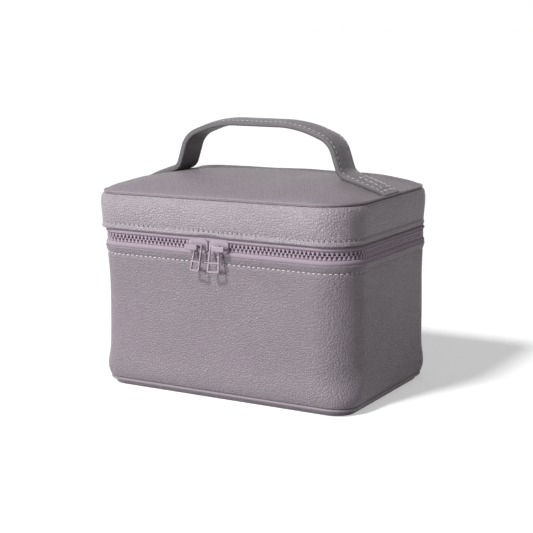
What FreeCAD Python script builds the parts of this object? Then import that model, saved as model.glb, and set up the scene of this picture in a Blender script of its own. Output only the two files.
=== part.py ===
import FreeCAD
import Part
import math
import os
import Sketcher
from FreeCAD import Placement, Rotation, Vector

# A zip-round vanity case: a soft case and a deep lid joined by a strip at the back, closed by a
# zip with two sliders that meet at the front, and carried by a strap sewn to the lid.
# +X is the case's right, +Y its back, +Z up. The origin is on the surface that the case stands
# on, under the middle of the case. All lengths are in millimetres.

doc = FreeCAD.newDocument("VanityCase")
sheet = doc.addObject("Spreadsheet::Sheet", "Sizes")

SIZES = {
    # outline of the case, seen from above, at its lip
    "case_width": 200.0,
    "case_depth": 134.0,
    "corner_radius": 18.5,
    # heights
    "lip_height": 101.0,
    "zip_gap": 12.4,
    "lid_height": 24.7,
    "crown_rise": 12.2,
    "crown_foot": 2.7,
    # how the lid stands over the case
    "lid_overhang": 1.2,
    "lid_shift": 1.4,
    # walls
    "wall": 2.6,
    "waist": 1.2,
    "flare": 0.45,
    "hem_round": 0.5,
    "seam_round": 1.0,
    "board": 2.0,
    "lining": 0.75,
    "leather": 1.2,
    "glue": 0.05,
    # base
    "bead_radius": 1.2,
    "bead_lift": 3.1,
    "base_inset": 5.0,
    "base_board": 3.25,
    "base_round": 5.0,
    "seam_tuck": 1.6,
    # zip: tape, teeth and the seams that hold the tape
    "tape_recess": 1.4,
    "tape": 0.7,
    "tape_seam": 6.4,
    "chain_width": 5.4,
    "chain_thick": 2.5,
    "chain_part": 0.8,
    "tape_edge": 0.5,
    "stop_length": 2.6,
    "hinge_width": 124.0,
    # axis on which the lid turns, and what keeps it clear of the teeth at the back
    "hinge_clearance": 0.4,
    # rolled seam around the top of the lid
    "top_bead": 0.9,
    "top_bead_inset": 1.3,
    # handle
    "strap_width": 24.0,
    "strap_under": 1.2,
    "strap_top": 1.2,
    "core": 1.4,
    "core_width": 17.0,
    "strap_rise": 47.2,
    "strap_flat": 31.4,
    "shoulder_reach": 57.3,
    "shoulder_drop": 10.0,
    "leg_reach": 64.7,
    "flat_bend": 76.0,
    "shoulder_bend": 16.5,
    "foot_bend": 9.0,
    "foot_end": 1.1,
    "foot_line_near": 3.0,
    "foot_line_far": 24.0,
    "strap_edge": 1.0,
    "strap_gap": 0.1,
    # sliders
    "meeting_x": -5.85,
    "nose_gap": 0.35,
    "slider_length": 15.6,
    "slider_width": 9.6,
    "slider_tail": 8.6,
    "slider_nose": 5.3,
    "slider_end": 6.0,
    "slider_bevel": 2.2,
    "plate": 1.15,
    "plate_round": 0.4,
    "running": 0.3,
    "web_length": 3.0,
    "bail_start": 5.6,
    "bail_length": 10.0,
    "bail_width": 3.8,
    "bail_thick": 1.5,
    "bail_corner": 0.9,
    "bail_round": 0.6,
    "bail_tunnel": 4.4,
    "post_radius": 0.8,
    "post_setback": 0.8,
    "far_post_setback": 0.9,
    "post_drop": 0.8,
    # pulls: they stand out from the front at the foot, and turn a little towards each other
    "pull_top_width": 7.2,
    "pull_foot_width": 9.0,
    "pull_length": 18.8,
    "pull_thick": 1.4,
    "pull_wire": 1.35,
    "pull_corner": 1.2,
    "pull_round": 0.38,
    "pull_window": 10.1,
    "pull_play": 0.2,
    "pull_tilt": 14.0,
    "pull_splay": 14.0,
}

for row, (alias, number) in enumerate(SIZES.items(), start=1):
    sheet.set(f"A{row}", alias)
    sheet.set(f"B{row}", str(number))
    sheet.setAlias(f"B{row}", alias)
doc.recompute()


class Length:
    """A length known twice: as a number, and as the expression that gives it from the sheet."""

    def __init__(self, value, text):
        self.value = value
        self.text = text

    @staticmethod
    def of(other):
        return other if isinstance(other, Length) else Length(float(other), repr(float(other)))

    def __add__(self, other):
        other = Length.of(other)
        return Length(self.value + other.value, f"({self.text} + {other.text})")

    def __sub__(self, other):
        other = Length.of(other)
        return Length(self.value - other.value, f"({self.text} - {other.text})")

    def __mul__(self, factor):
        return Length(self.value * factor, f"({self.text} * {factor!r})")

    def __truediv__(self, divisor):
        return Length(self.value / divisor, f"({self.text} / {divisor!r})")

    def __neg__(self):
        return self * -1.0


def size(alias):
    return Length(float(sheet.get(alias)), f"Sizes.{alias}")


zero = Length.of(0.0)


class Outline:
    """A rounded rectangle seen from above, which can be drawn in or let out."""

    def __init__(self, width, depth, radius, shift):
        self.width = width
        self.depth = depth
        self.radius = radius
        self.shift = shift

    def inset(self, by):
        by = Length.of(by)
        return Outline(self.width - by * 2, self.depth - by * 2, self.radius - by, self.shift)

    def rounded(self, radius):
        return Outline(self.width, self.depth, radius, self.shift)

    @property
    def front(self):
        return self.shift - self.depth / 2

    @property
    def back(self):
        return self.shift + self.depth / 2


# ---- lengths worked out from the sheet ----

glue = size("glue")
leather = size("leather")
board = size("board")
lining = size("lining")
wall = size("wall")
tape = size("tape")
tape_recess = size("tape_recess")

case = Outline(size("case_width"), size("case_depth"), size("corner_radius"), zero)
lid = Outline(
    case.width + size("lid_overhang") * 2,
    case.depth + size("lid_overhang") * 2,
    case.radius + size("lid_overhang"),
    -size("lid_shift"),
)

lip_z = size("lip_height")
lid_edge_z = lip_z + size("zip_gap")
chain_z = lip_z + size("zip_gap") / 2
seam_z = lid_edge_z + size("lid_height")
top_z = seam_z + size("crown_rise")

# base, from the floor up
bead_z = size("bead_lift") + size("bead_radius")
shell_z = bead_z + size("bead_radius") + glue
bead_inset = size("seam_tuck") + size("bead_radius") / 2
panel_top_z = leather + size("base_board")
floor_z = panel_top_z + glue

# layers of a wall, as insets from the case's outline
board_inset = wall + glue
lining_inset = board_inset + board + glue
tape_inset = tape_recess + tape
tape_lining_inset = tape_inset + glue
chain_front_inset = tape_recess + tape / 2 - size("chain_thick") / 2
chain_back_inset = chain_front_inset + size("chain_thick")
shoulder_z = lip_z - size("tape_seam") - glue * 2
lid_shoulder_z = lid_edge_z + size("tape_seam") + glue * 2

# teeth: the two halves stand a little apart, so that a slider's web can pass between them
half_chain = size("chain_width") / 2
half_part = size("chain_part") / 2

# rolled seam and crowned panel of the lid
top_bead_z = seam_z + size("top_bead") + glue
crown_base_z = seam_z + glue
crown = lid.inset(size("top_bead_inset") + size("top_bead") + glue)

# The crown's section: how far in from the panel's edge, and what share of the rise it has there
CROWN = (
    (0.0, 0.0),
    (7.0, 0.262),
    (14.0, 0.49),
    (21.0, 0.685),
    (28.0, 0.83),
    (35.0, 0.92),
    (42.0, 0.972),
    (49.0, 1.0),
)
CROWN_CORNER_LOSS = 0.27  # how fast the corners tighten towards the middle of the crown

# the hinge's axis is just behind the teeth, so that they part without rubbing
hinge_y = case.back - chain_front_inset + size("hinge_clearance")


# ---- drawing ----


def new_body(name):
    body = doc.addObject("PartDesign::Body", name)
    body.Label = name
    return body


def origin_plane(body, role):
    return next(item for item in body.Origin.OriginFeatures if item.Role == role)


def new_sketch(body, name, role="XY_Plane", offset=zero, across=zero, along=zero):
    """A sketch on one of the body's own planes, moved by offset along the plane's normal."""
    sketch = body.newObject("Sketcher::SketchObject", f"{body.Name}_{name}")
    sketch.AttachmentSupport = [(origin_plane(body, role), "")]
    sketch.MapMode = "FlatFace"
    sketch.AttachmentOffset = Placement(Vector(along.value, across.value, offset.value), Rotation())
    sketch.setExpression("AttachmentOffset.Base.x", along.text)
    sketch.setExpression("AttachmentOffset.Base.y", across.text)
    sketch.setExpression("AttachmentOffset.Base.z", offset.text)
    return sketch


def constrain(sketch, kind, places, length, label):
    index = sketch.addConstraint(Sketcher.Constraint(kind, *places, length.value))
    sketch.renameConstraint(index, label)
    sketch.setExpression(f"Constraints.{label}", length.text)


def draw_rounded(sketch, outline, label):
    """A rounded rectangle about the sketch's origin, its sizes bound to the sheet."""
    a = outline.width.value / 2
    b = outline.depth.value / 2
    r = outline.radius.value
    first = sketch.GeometryCount
    corners = ((a - r, -b + r, -90), (a - r, b - r, 0), (-a + r, b - r, 90), (-a + r, -b + r, 180))
    runs = (
        ((-a + r, -b), (a - r, -b)),
        ((a, -b + r), (a, b - r)),
        ((a - r, b), (-a + r, b)),
        ((-a, b - r), (-a, -b + r)),
    )
    for start, end in runs:
        sketch.addGeometry(Part.LineSegment(Vector(*start, 0), Vector(*end, 0)), False)
    for x, y, angle in corners:
        circle = Part.Circle(Vector(x, y, 0), Vector(0, 0, 1), r)
        start = math.radians(angle)
        sketch.addGeometry(Part.ArcOfCircle(circle, start, start + math.pi / 2), False)
    for corner in range(4):
        arc = first + 4 + corner
        sketch.addConstraint(Sketcher.Constraint("Tangent", first + corner, 2, arc, 1))
        sketch.addConstraint(Sketcher.Constraint("Tangent", arc, 2, first + (corner + 1) % 4, 1))
    for run in range(4):
        kind = "Horizontal" if run % 2 == 0 else "Vertical"
        sketch.addConstraint(Sketcher.Constraint(kind, first + run))
    for corner in range(3):
        arc = first + 4 + corner
        sketch.addConstraint(Sketcher.Constraint("Equal", arc, arc + 1))
    sketch.addConstraint(Sketcher.Constraint("Symmetric", first + 4, 3, first + 6, 3, -1, 1))
    constrain(sketch, "DistanceX", (first + 3, 1, first + 1, 1), outline.width, f"{label}_width")
    constrain(sketch, "DistanceY", (first, 1, first + 2, 1), outline.depth, f"{label}_depth")
    constrain(sketch, "Radius", (first + 4,), outline.radius, f"{label}_radius")


def draw_box(sketch, width, height):
    """A plain rectangle about the sketch's origin."""
    a = width.value / 2
    b = height.value / 2
    points = ((-a, -b), (a, -b), (a, b), (-a, b))
    for index in range(4):
        start = Vector(*points[index], 0)
        end = Vector(*points[(index + 1) % 4], 0)
        sketch.addGeometry(Part.LineSegment(start, end), False)
    for index in range(4):
        sketch.addConstraint(Sketcher.Constraint("Coincident", index, 2, (index + 1) % 4, 1))
        kind = "Horizontal" if index % 2 == 0 else "Vertical"
        sketch.addConstraint(Sketcher.Constraint(kind, index))
    sketch.addConstraint(Sketcher.Constraint("Symmetric", 0, 1, 2, 1, -1, 1))
    constrain(sketch, "DistanceX", (0, 1, 0, 2), width, "width")
    constrain(sketch, "DistanceY", (1, 1, 1, 2), height, "height")


def draw_circle(sketch, radius):
    sketch.addGeometry(Part.Circle(Vector(0, 0, 0), Vector(0, 0, 1), radius.value), False)
    sketch.addConstraint(Sketcher.Constraint("Coincident", 0, 3, -1, 1))
    constrain(sketch, "Radius", (0,), radius, "radius")


def draw_loop(sketch, edges):
    """A closed run of lines and arcs, end to end."""
    first = sketch.GeometryCount
    for edge in edges:
        sketch.addGeometry(edge, False)
    for index in range(len(edges)):
        after = (index + 1) % len(edges)
        ends = sketch.getPoint(first + index, 2), sketch.getPoint(first + index, 1)
        starts = sketch.getPoint(first + after, 1), sketch.getPoint(first + after, 2)
        places = ((0, 0, 2, 1), (0, 1, 2, 2), (1, 0, 1, 1), (1, 1, 1, 2))
        for end, start, end_place, start_place in places:
            if ends[end].distanceToPoint(starts[start]) < 1e-6:
                joint = (first + index, end_place, first + after, start_place)
                sketch.addConstraint(Sketcher.Constraint("Coincident", *joint))
                break


def draw_polygon(sketch, points):
    corners = [Vector(x, y, 0) for x, y in points]
    pairs = zip(corners, corners[1:] + corners[:1])
    draw_loop(sketch, [Part.LineSegment(start, end) for start, end in pairs])


# ---- features ----


def pad(body, sketch, length, symmetric=False):
    feature = body.newObject("PartDesign::Pad", f"{sketch.Name}_pad")
    feature.Profile = sketch
    feature.Length = length.value
    feature.setExpression("Length", length.text)
    if symmetric:
        feature.SideType = "Symmetric"
    doc.recompute()
    return feature


def pocket(body, sketch, length, symmetric=False, backwards=False):
    """A cut that goes against the sketch's normal, or along it when backwards is set."""
    before = body.Shape.Volume
    feature = body.newObject("PartDesign::Pocket", f"{sketch.Name}_pocket")
    feature.Profile = sketch
    feature.Length = length.value
    feature.setExpression("Length", length.text)
    feature.Reversed = backwards
    if symmetric:
        feature.SideType = "Symmetric"
    doc.recompute()
    if not body.Shape.Volume < before:
        raise ValueError(f"{feature.Name} cuts nothing")
    return feature


def loft(body, kind, sections):
    feature = body.newObject(f"PartDesign::{kind}", f"{body.Name}_{kind}")
    feature.Profile = sections[0]
    feature.Sections = sections[1:]
    doc.recompute()
    return feature


def round_edges(body, radius, wanted):
    """Rounds the edges of the body's shape that the test wanted picks."""
    base = body.Tip
    names = [f"Edge{n}" for n, edge in enumerate(base.Shape.Edges, start=1) if wanted(edge)]
    feature = body.newObject("PartDesign::Fillet", f"{body.Name}_round")
    feature.Base = (base, names)
    feature.Radius = radius.value
    feature.setExpression("Radius", radius.text)
    doc.recompute()
    return feature


def runs_round(edge, z):
    """True for an edge of the outermost loop at height z."""
    box = edge.BoundBox
    if box.ZLength > 1e-4 or abs(box.ZMin - z) > 1e-4:
        return False
    middle = edge.valueAt((edge.FirstParameter + edge.LastParameter) / 2)
    return not inside_case(middle.x, middle.y)


def inside_case(x, y):
    """True within the case's outline, drawn in by half the depth of the tape's recess."""
    by = tape_recess.value / 2
    half_x, half_y = case.width.value / 2 - by, case.depth.value / 2 - by
    radius = case.radius.value - by
    reach_x, reach_y = abs(x) - half_x + radius, abs(y) - half_y + radius
    if reach_x > 0 and reach_y > 0:
        return math.hypot(reach_x, reach_y) < radius
    return reach_x < radius and reach_y < radius


def section(body, name, outline, z):
    sketch = new_sketch(body, name, offset=z, across=outline.shift)
    draw_rounded(sketch, outline, "outer")
    return sketch


def plate(body, name, outline, low, high):
    return pad(body, section(body, name, outline, low), high - low)


def ring(body, name, outline, outer_inset, inner_inset, low, high):
    """A band of the outline between two insets and two heights."""
    sketch = new_sketch(body, name, offset=low, across=outline.shift)
    draw_rounded(sketch, outline.inset(outer_inset), "outer")
    draw_rounded(sketch, outline.inset(inner_inset), "inner")
    return pad(body, sketch, high - low)


def back_notch(body, width, low, high):
    """Leaves out the middle of a band at the back, where the hinge is."""
    sketch = new_sketch(body, "notch", offset=low, across=case.back)
    draw_box(sketch, width, wall * 4)
    pocket(body, sketch, high - low, backwards=True)


def lofted_wall(body, name, outline, profile):
    """A solid whose outside follows the outline with the insets and heights of the profile."""
    sections = [
        section(body, f"{name}{index}", outline.inset(inset), z)
        for index, (inset, z) in enumerate(profile)
    ]
    loft(body, "AdditiveLoft", sections)


def bead(body, outline, radius, z):
    """A round cord sewn into a seam, all along the outline."""
    path = new_sketch(body, "path", offset=z, across=outline.shift)
    draw_rounded(path, outline, "path")
    start = -(outline.width / 2 - outline.radius)
    circle = new_sketch(
        body, "circle", role="YZ_Plane", offset=start, along=outline.front, across=z
    )
    draw_circle(circle, radius)
    doc.recompute()
    feature = body.newObject("PartDesign::AdditivePipe", f"{body.Name}_pipe")
    feature.Profile = circle
    feature.Spine = (path, [f"Edge{n}" for n in range(1, len(path.Shape.Edges) + 1)])
    doc.recompute()


# ---- case ----


def make_body_shell():
    """Padded leather wall: swells at the foot, waists in, and flares again to its lip."""
    body = new_body("body_shell")
    swell_z = shell_z + size("base_round")
    rounding = [
        (size("seam_tuck") * (1 - math.sin(math.radians(angle))),
         shell_z + size("base_round") * (1 - math.cos(math.radians(angle))))
        for angle in (0, 30, 60, 90)
    ]
    lofted_wall(body, "foot", case, rounding)
    height = lip_z - swell_z
    waist = ((0.0, 0.0), (0.25, 0.68), (0.5, 1.0), (0.75, 0.82), (1.0, 0.0))
    profile = [(size("waist") * share, swell_z + height * up) for up, share in waist]
    lofted_wall(body, "wall", case, profile)
    pocket(body, section(body, "inside", case.inset(wall), shell_z), lip_z - shell_z, backwards=True)
    seam = section(body, "seam", case.inset(tape_recess - glue), shoulder_z)
    pocket(body, seam, lip_z - shoulder_z, backwards=True)


def make_body_board():
    body = new_body("body_board")
    ring(body, "ring", case, board_inset, board_inset + board, shell_z, shoulder_z - glue)


def make_body_lining():
    """Fabric tray: a floor, walls, a step over the board and a lip sewn to the zip's tape."""
    body = new_body("body_lining")
    plate(body, "floor", case.inset(lining_inset), floor_z, floor_z + lining)
    step_top = shoulder_z + lining
    ring(body, "walls", case, lining_inset, lining_inset + lining, floor_z, step_top)
    ring(body, "step", case, tape_lining_inset, lining_inset + lining, shoulder_z, step_top)
    ring(
        body, "lip", case, tape_lining_inset, tape_lining_inset + lining, shoulder_z, lip_z - glue * 2
    )


def make_bottom_panel():
    """Leather base, drawn in under the case; its rim stands up round the board."""
    body = new_body("bottom_panel")
    rim = bead_inset + size("bead_radius") + glue
    low = section(body, "foot", case.inset(size("base_inset")), zero)
    high = section(body, "rim", case.inset(rim), panel_top_z)
    loft(body, "AdditiveLoft", [low, high])
    tray = section(body, "tray", case.inset(size("base_inset") + leather), leather)
    pocket(body, tray, size("base_board"), backwards=True)


def make_bottom_board():
    body = new_body("bottom_board")
    plate(
        body, "board", case.inset(size("base_inset") + leather + glue), leather, panel_top_z
    )


def make_bottom_bead():
    body = new_body("bottom_bead")
    bead(body, case.inset(bead_inset), size("bead_radius"), bead_z)


def make_lower_tape():
    body = new_body("lower_zip_tape")
    low = shoulder_z + glue * 2
    high = chain_z - half_part - size("tape_edge")
    ring(body, "band", case, tape_recess, tape_inset, low, high)
    back_notch(body, size("hinge_width"), low, high)


def make_lower_teeth():
    """One half of the moulded teeth, gripping the edge of its tape."""
    body = new_body("lower_zip_teeth")
    low = chain_z - half_chain
    high = chain_z - half_part
    ring(body, "band", case, chain_front_inset, chain_back_inset, low, high)
    groove = new_sketch(body, "groove", offset=low)
    draw_rounded(groove, case.inset(tape_recess), "outer")
    draw_rounded(groove, case.inset(tape_inset), "inner")
    pocket(body, groove, half_chain - half_part - size("tape_edge"), backwards=True)
    back_notch(body, size("hinge_width") + size("stop_length") * 2 + glue * 8, low, high)


def make_end_stops():
    """The two blocks that close the teeth at the hinge, each clamped over the lower tape."""
    length = size("stop_length")
    tall = half_chain - half_part
    thick = chain_back_inset - chain_front_inset
    inner = size("hinge_width") / 2 + glue
    bottom = chain_z - half_chain
    stops = []
    for name, start in (("left_stop", -(inner + length)), ("right_stop", inner)):
        block = doc.addObject("Part::Box", f"{name}_block")
        bind_box(block, length, thick, tall)
        place(block, start, case.back - chain_back_inset, bottom)
        slot = doc.addObject("Part::Box", f"{name}_slot")
        bind_box(slot, length * 2, tape, tall - size("tape_edge"))
        place(slot, start - length / 2, case.back - tape_inset, bottom)
        cut = doc.addObject("Part::Cut", name)
        cut.Base = block
        cut.Tool = slot
        stops.append(cut)
    pair = doc.addObject("Part::Compound", "zip_end_stops")
    pair.Label = "zip_end_stops"
    pair.Links = stops
    doc.recompute()


def bind_box(box, length, width, height):
    for axis, amount in (("Length", length), ("Width", width), ("Height", height)):
        box.setExpression(axis, amount.text)


def place(item, x, y, z):
    for axis, amount in (("x", x), ("y", y), ("z", z)):
        item.setExpression(f"Placement.Base.{axis}", Length.of(amount).text)


def make_hinge():
    """Leather strip outside and lining strip inside, the only links between case and lid."""
    width = size("hinge_width") - glue * 4
    strip = new_body("hinge_strip")
    low = shoulder_z + glue * 2
    sketch = new_sketch(strip, "band", offset=low, across=case.back - (tape_recess + tape_inset) / 2)
    draw_box(sketch, width, tape)
    pad(strip, sketch, lid_shoulder_z - glue * 2 - low)
    inner = new_body("hinge_lining")
    low = lip_z - glue
    middle = tape_lining_inset + lining / 2
    sketch = new_sketch(inner, "band", offset=low, across=case.back - middle)
    draw_box(sketch, width, lining)
    pad(inner, sketch, lid_edge_z + glue - low)


# ---- lid ----


def make_lid_band():
    """Leather band of the lid, drawn in a little between its hem and its top."""
    body = new_body("lid_band")
    flare = size("flare")
    height = size("lid_height")
    shape = ((0.0, 0.0), (0.33, 0.7), (0.67, 0.0), (1.0, -1.0))
    profile = [(flare * share, lid_edge_z + height * up) for up, share in shape]
    lofted_wall(body, "level", lid, profile)
    inside = section(body, "inside", case.inset(tape_recess - glue), lid_edge_z)
    pocket(body, inside, height, backwards=True)
    for radius, z in ((size("hem_round"), lid_edge_z.value), (size("seam_round"), seam_z.value)):
        round_edges(body, radius, lambda edge: runs_round(edge, z))


def make_lid_frame():
    """Board that keeps the lid's band square."""
    body = new_body("lid_frame")
    frame_top = seam_z - board - glue
    ring(body, "ring", case, tape_recess, tape_recess + board, lid_shoulder_z + lining + glue, frame_top)


def make_lid_board():
    body = new_body("lid_board")
    plate(body, "board", case.inset(tape_recess), seam_z - board, seam_z)


def make_lid_lining():
    body = new_body("lid_lining")
    walls = tape_recess + board + glue
    ceiling = seam_z - board - glue
    plate(body, "ceiling", case.inset(walls), ceiling - lining, ceiling)
    ring(body, "walls", case, walls, walls + lining, lid_shoulder_z, ceiling)
    step_top = lid_shoulder_z + lining
    ring(body, "step", case, tape_recess, walls + lining, lid_shoulder_z, step_top)
    low = lid_edge_z + glue * 4
    ring(body, "lip", case, tape_lining_inset, tape_lining_inset + lining, low, step_top)


def crown_sections(body, name, sunk, foot):
    """Sections of the crown sunk by an amount, its foot drawn in so that its slope is kept."""
    sections = [section(body, f"{name}0", crown.inset(foot), crown_base_z)]
    for index, (inset, share) in enumerate(CROWN[1:], start=1):
        outline = crown.inset(inset).rounded(crown.radius - inset * CROWN_CORNER_LOSS)
        z = crown_base_z + size("crown_rise") * share - sunk
        sections.append(section(body, f"{name}{index}", outline, z))
    return sections


def make_lid_top_panel():
    body = new_body("lid_top_panel")
    loft(body, "AdditiveLoft", crown_sections(body, "out", zero, zero))
    loft(body, "SubtractiveLoft", crown_sections(body, "in", leather, size("crown_foot")))


def make_lid_foam():
    body = new_body("lid_foam")
    foot = size("crown_foot") + glue * 3
    loft(body, "AdditiveLoft", crown_sections(body, "top", leather + glue, foot))


def make_top_bead():
    body = new_body("lid_top_bead")
    bead(body, lid.inset(size("top_bead_inset")), size("top_bead"), top_bead_z)


def make_upper_tape():
    body = new_body("upper_zip_tape")
    low = chain_z + half_part + size("tape_edge")
    high = lid_shoulder_z - glue * 2
    ring(body, "band", case, tape_recess, tape_inset, low, high)
    back_notch(body, size("hinge_width"), low, high)


def make_upper_teeth():
    body = new_body("upper_zip_teeth")
    low = chain_z + half_part
    high = chain_z + half_chain
    ring(body, "band", case, chain_front_inset, chain_back_inset, low, high)
    groove = new_sketch(body, "groove", offset=high)
    draw_rounded(groove, case.inset(tape_recess), "outer")
    draw_rounded(groove, case.inset(tape_inset), "inner")
    pocket(body, groove, half_chain - half_part - size("tape_edge"))
    back_notch(body, size("hinge_width") + size("stop_length") * 2 + glue * 8, low, high)


# ---- handle ----


def crown_height(inset):
    """Height of the crown over the seam, where the strap's feet lie on it."""
    for (near, low), (far, high) in zip(CROWN, CROWN[1:]):
        if near <= inset <= far:
            return size("crown_rise").value * (low + (high - low) * (inset - near) / (far - near))
    raise ValueError(f"no crown at {inset}")


def strap_corners():
    """Corners of the strap's middle line, from its top to the end of its right foot."""
    half = crown.width.value / 2
    near, far = size("foot_line_near").value, size("foot_line_far").value
    rest = size("strap_under").value - size("strap_gap").value
    slope = (crown_height(near) - crown_height(far)) / (far - near)

    def foot(x):
        return crown_base_z.value + crown_height(near) + slope * (x - half + near) + rest

    apex = (seam_z + size("strap_rise")).value
    leg = size("leg_reach").value
    end = half - size("foot_end").value
    return [
        Vector(0, apex, 0),
        Vector(size("strap_flat").value, apex, 0),
        Vector(size("shoulder_reach").value, apex - size("shoulder_drop").value, 0),
        Vector(leg, foot(leg), 0),
        Vector(end, foot(end), 0),
    ]


def strap_line(offset):
    """Lines and arcs of the strap's line moved out by offset, in order from one foot to the other."""
    corners = strap_corners()
    bends = [size(name).value for name in ("flat_bend", "shoulder_bend", "foot_bend")]
    pieces = []
    ready = corners[0]
    heading = (corners[1] - corners[0]).normalize()
    for index, bend in enumerate(bends, start=1):
        onward = (corners[index + 1] - corners[index]).normalize()
        turn = heading.x * onward.y - heading.y * onward.x
        angle = math.atan2(turn, heading.dot(onward))
        tangent = bend * math.tan(abs(angle) / 2)
        start = corners[index] - heading * tangent
        out = Vector(-heading.y, heading.x, 0)
        centre = start + out * (bend * (1 if angle > 0 else -1))
        pieces.append(("line", ready + out * offset, start + out * offset))
        radius = bend - offset if angle > 0 else bend + offset
        first = math.atan2((start - centre).y, (start - centre).x)
        pieces.append(("arc", centre, radius, first, first + angle))
        ready = corners[index] + onward * tangent
        heading = onward
    out = Vector(-heading.y, heading.x, 0)
    pieces.append(("line", ready + out * offset, corners[-1] + out * offset))
    return pieces


def strap_profile(low, high, short=0.0):
    """Closed outline of a layer of the strap between two offsets, both halves."""
    edges = []
    ends = {}
    for offset in (low, high):
        for side in (1, -1):
            pieces = strap_line(offset)
            last = pieces[-1]
            along = (last[2] - last[1]).normalize()
            pieces[-1] = ("line", last[1], last[2] - along * short)
            ends[offset, side] = Vector(side * pieces[-1][2].x, pieces[-1][2].y, 0)
            for piece in pieces:
                edges.append((offset, side, piece))
    ordered = []
    for offset, sides in ((low, (-1, 1)), (high, (1, -1))):
        for side in sides:
            run = [make_edge(piece, side) for at, hand, piece in edges if (at, hand) == (offset, side)]
            outward = (offset == low) == (side == 1)
            ordered += run if outward else run[::-1]
        if offset == low:
            ordered.append(Part.LineSegment(ends[low, 1], ends[high, 1]))
    ordered.append(Part.LineSegment(ends[high, -1], ends[low, -1]))
    return ordered


def make_edge(piece, side):
    if piece[0] == "line":
        start, end = (Vector(side * point.x, point.y, 0) for point in piece[1:])
        return Part.LineSegment(start, end)
    _, centre, radius, first, last = piece
    centre = Vector(side * centre.x, centre.y, 0)
    if side < 0:
        first, last = math.pi - first, math.pi - last
    if last < first:
        first, last = last, first
    return Part.ArcOfCircle(Part.Circle(centre, Vector(0, 0, 1), radius), first, last)


def strap_layer(body, name, low, high, width, short=0.0, cut=False):
    sketch = new_sketch(body, name, role="XZ_Plane", offset=-lid.shift)
    draw_loop(sketch, strap_profile(low, high, short))
    doc.recompute()
    make = pocket if cut else pad
    make(body, sketch, width, symmetric=True)


def make_handle():
    """Two layers of leather sewn over a filler; the lower layer's feet follow the crown."""
    under = size("strap_under").value
    core = size("core").value
    top = core + size("strap_top").value
    foot = new_body("strap_under_blank")
    strap_layer(foot, "layer", -under, 0.0, size("strap_width"))
    bed = new_body("strap_bed")
    loft(bed, "AdditiveLoft", crown_sections(bed, "bed", -size("strap_gap"), zero))
    lower = doc.addObject("Part::Cut", "handle_under_strap")
    lower.Label = "handle_under_strap"
    lower.Base = foot
    lower.Tool = bed

    filler = new_body("handle_core")
    end = size("foot_end").value * 3
    strap_layer(filler, "layer", glue.value / 2, core, size("core_width") - glue, end + glue.value)

    upper = new_body("handle_top_strap")
    strap_layer(upper, "layer", glue.value / 2, top, size("strap_width"))
    strap_layer(upper, "groove", 0.0, core + glue.value, size("core_width"), end, cut=True)
    rim = (size("strap_width") / 2).value
    middle = lid.shift.value

    def outer_edge(edge):
        box = edge.BoundBox
        along = box.YLength < 1e-4 and abs(abs(box.YMin - middle) - rim) < 1e-4
        return along and on_strap(edge, top)

    round_edges(upper, size("strap_edge"), outer_edge)
    doc.recompute()


def on_strap(edge, offset):
    """True for an edge that runs along the strap's line at this offset."""
    middle = edge.valueAt((edge.FirstParameter + edge.LastParameter) / 2)
    point = Vector(abs(middle.x), middle.z, 0)
    near = min(Part.Vertex(point).distToShape(make_edge(piece, 1).toShape())[0]
               for piece in strap_line(offset))
    return near < 1e-3


# ---- sliders and pulls ----

slider_front = -(case.front + chain_front_inset) + size("running")
slider_back = -(case.front + chain_back_inset) - size("running")
plate_front = slider_front + size("plate")
post_z = chain_z - size("post_drop")
tunnel_front = plate_front + size("bail_tunnel")


def post_x(side):
    return size("meeting_x") + (size("bail_start") + size("post_setback")) * side


def slider_outline(side):
    """A plate over both rows of teeth, narrower at its nose and its tail, with its corners cut off."""
    nose = size("meeting_x").value + side * size("nose_gap").value
    length, bevel = size("slider_length").value, size("slider_bevel").value
    profile = (
        (0.0, size("slider_nose").value / 2),
        (bevel, size("slider_width").value / 2),
        (length - bevel, size("slider_tail").value / 2),
        (length, size("slider_end").value / 2),
    )
    z = chain_z.value
    upper = [(nose + side * x, z + y) for x, y in profile]
    lower = [(nose + side * x, z - y) for x, y in reversed(profile)]
    return upper + lower


def slider_strip(start, end, low, high, side):
    """A strip along the slider, from start to end behind its nose, low to high over the teeth's middle."""
    nose = size("meeting_x").value + side * size("nose_gap").value
    near, far = nose + side * start, nose + side * end
    z = chain_z.value
    return [(near, z + low), (far, z + low), (far, z + high), (near, z + high)]


def make_slider(name, side):
    """Front plate, back plate, the web between the teeth, and the lips that hold the lower row."""
    body = new_body(f"{name}_slider_body")
    web = half_part.value - size("running").value / 2
    lip_low = -size("slider_tail").value / 2
    lip_high = -half_chain.value - size("running").value / 2
    tape_front = -(case.front + tape_recess) + size("running")
    tape_back = -(case.front + tape_inset) - size("running")
    outline = slider_outline(side)
    length, bevel = size("slider_length").value, size("slider_bevel").value
    web_strip = slider_strip(0.0, size("web_length").value, -web, web, side)
    lip_strip = slider_strip(bevel, length - bevel, lip_low, lip_high, side)
    layers = (
        ("back", slider_back - size("plate"), size("plate"), outline),
        ("web", slider_back, slider_front - slider_back, web_strip),
        ("front", slider_front, size("plate"), outline),
        ("inner_lip", slider_back, tape_back - slider_back, lip_strip),
        ("outer_lip", tape_front, slider_front - tape_front, lip_strip),
    )
    for label, start, thick, points in layers:
        sketch = new_sketch(body, label, role="XZ_Plane", offset=start)
        draw_polygon(sketch, points)
        pad(body, sketch, thick)
    face = -plate_front.value
    round_edges(body, size("plate_round"), lambda edge: on_face(edge, face))


def on_face(edge, y):
    box = edge.BoundBox
    return box.YLength < 1e-4 and abs(box.YMin - y) < 1e-4


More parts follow.
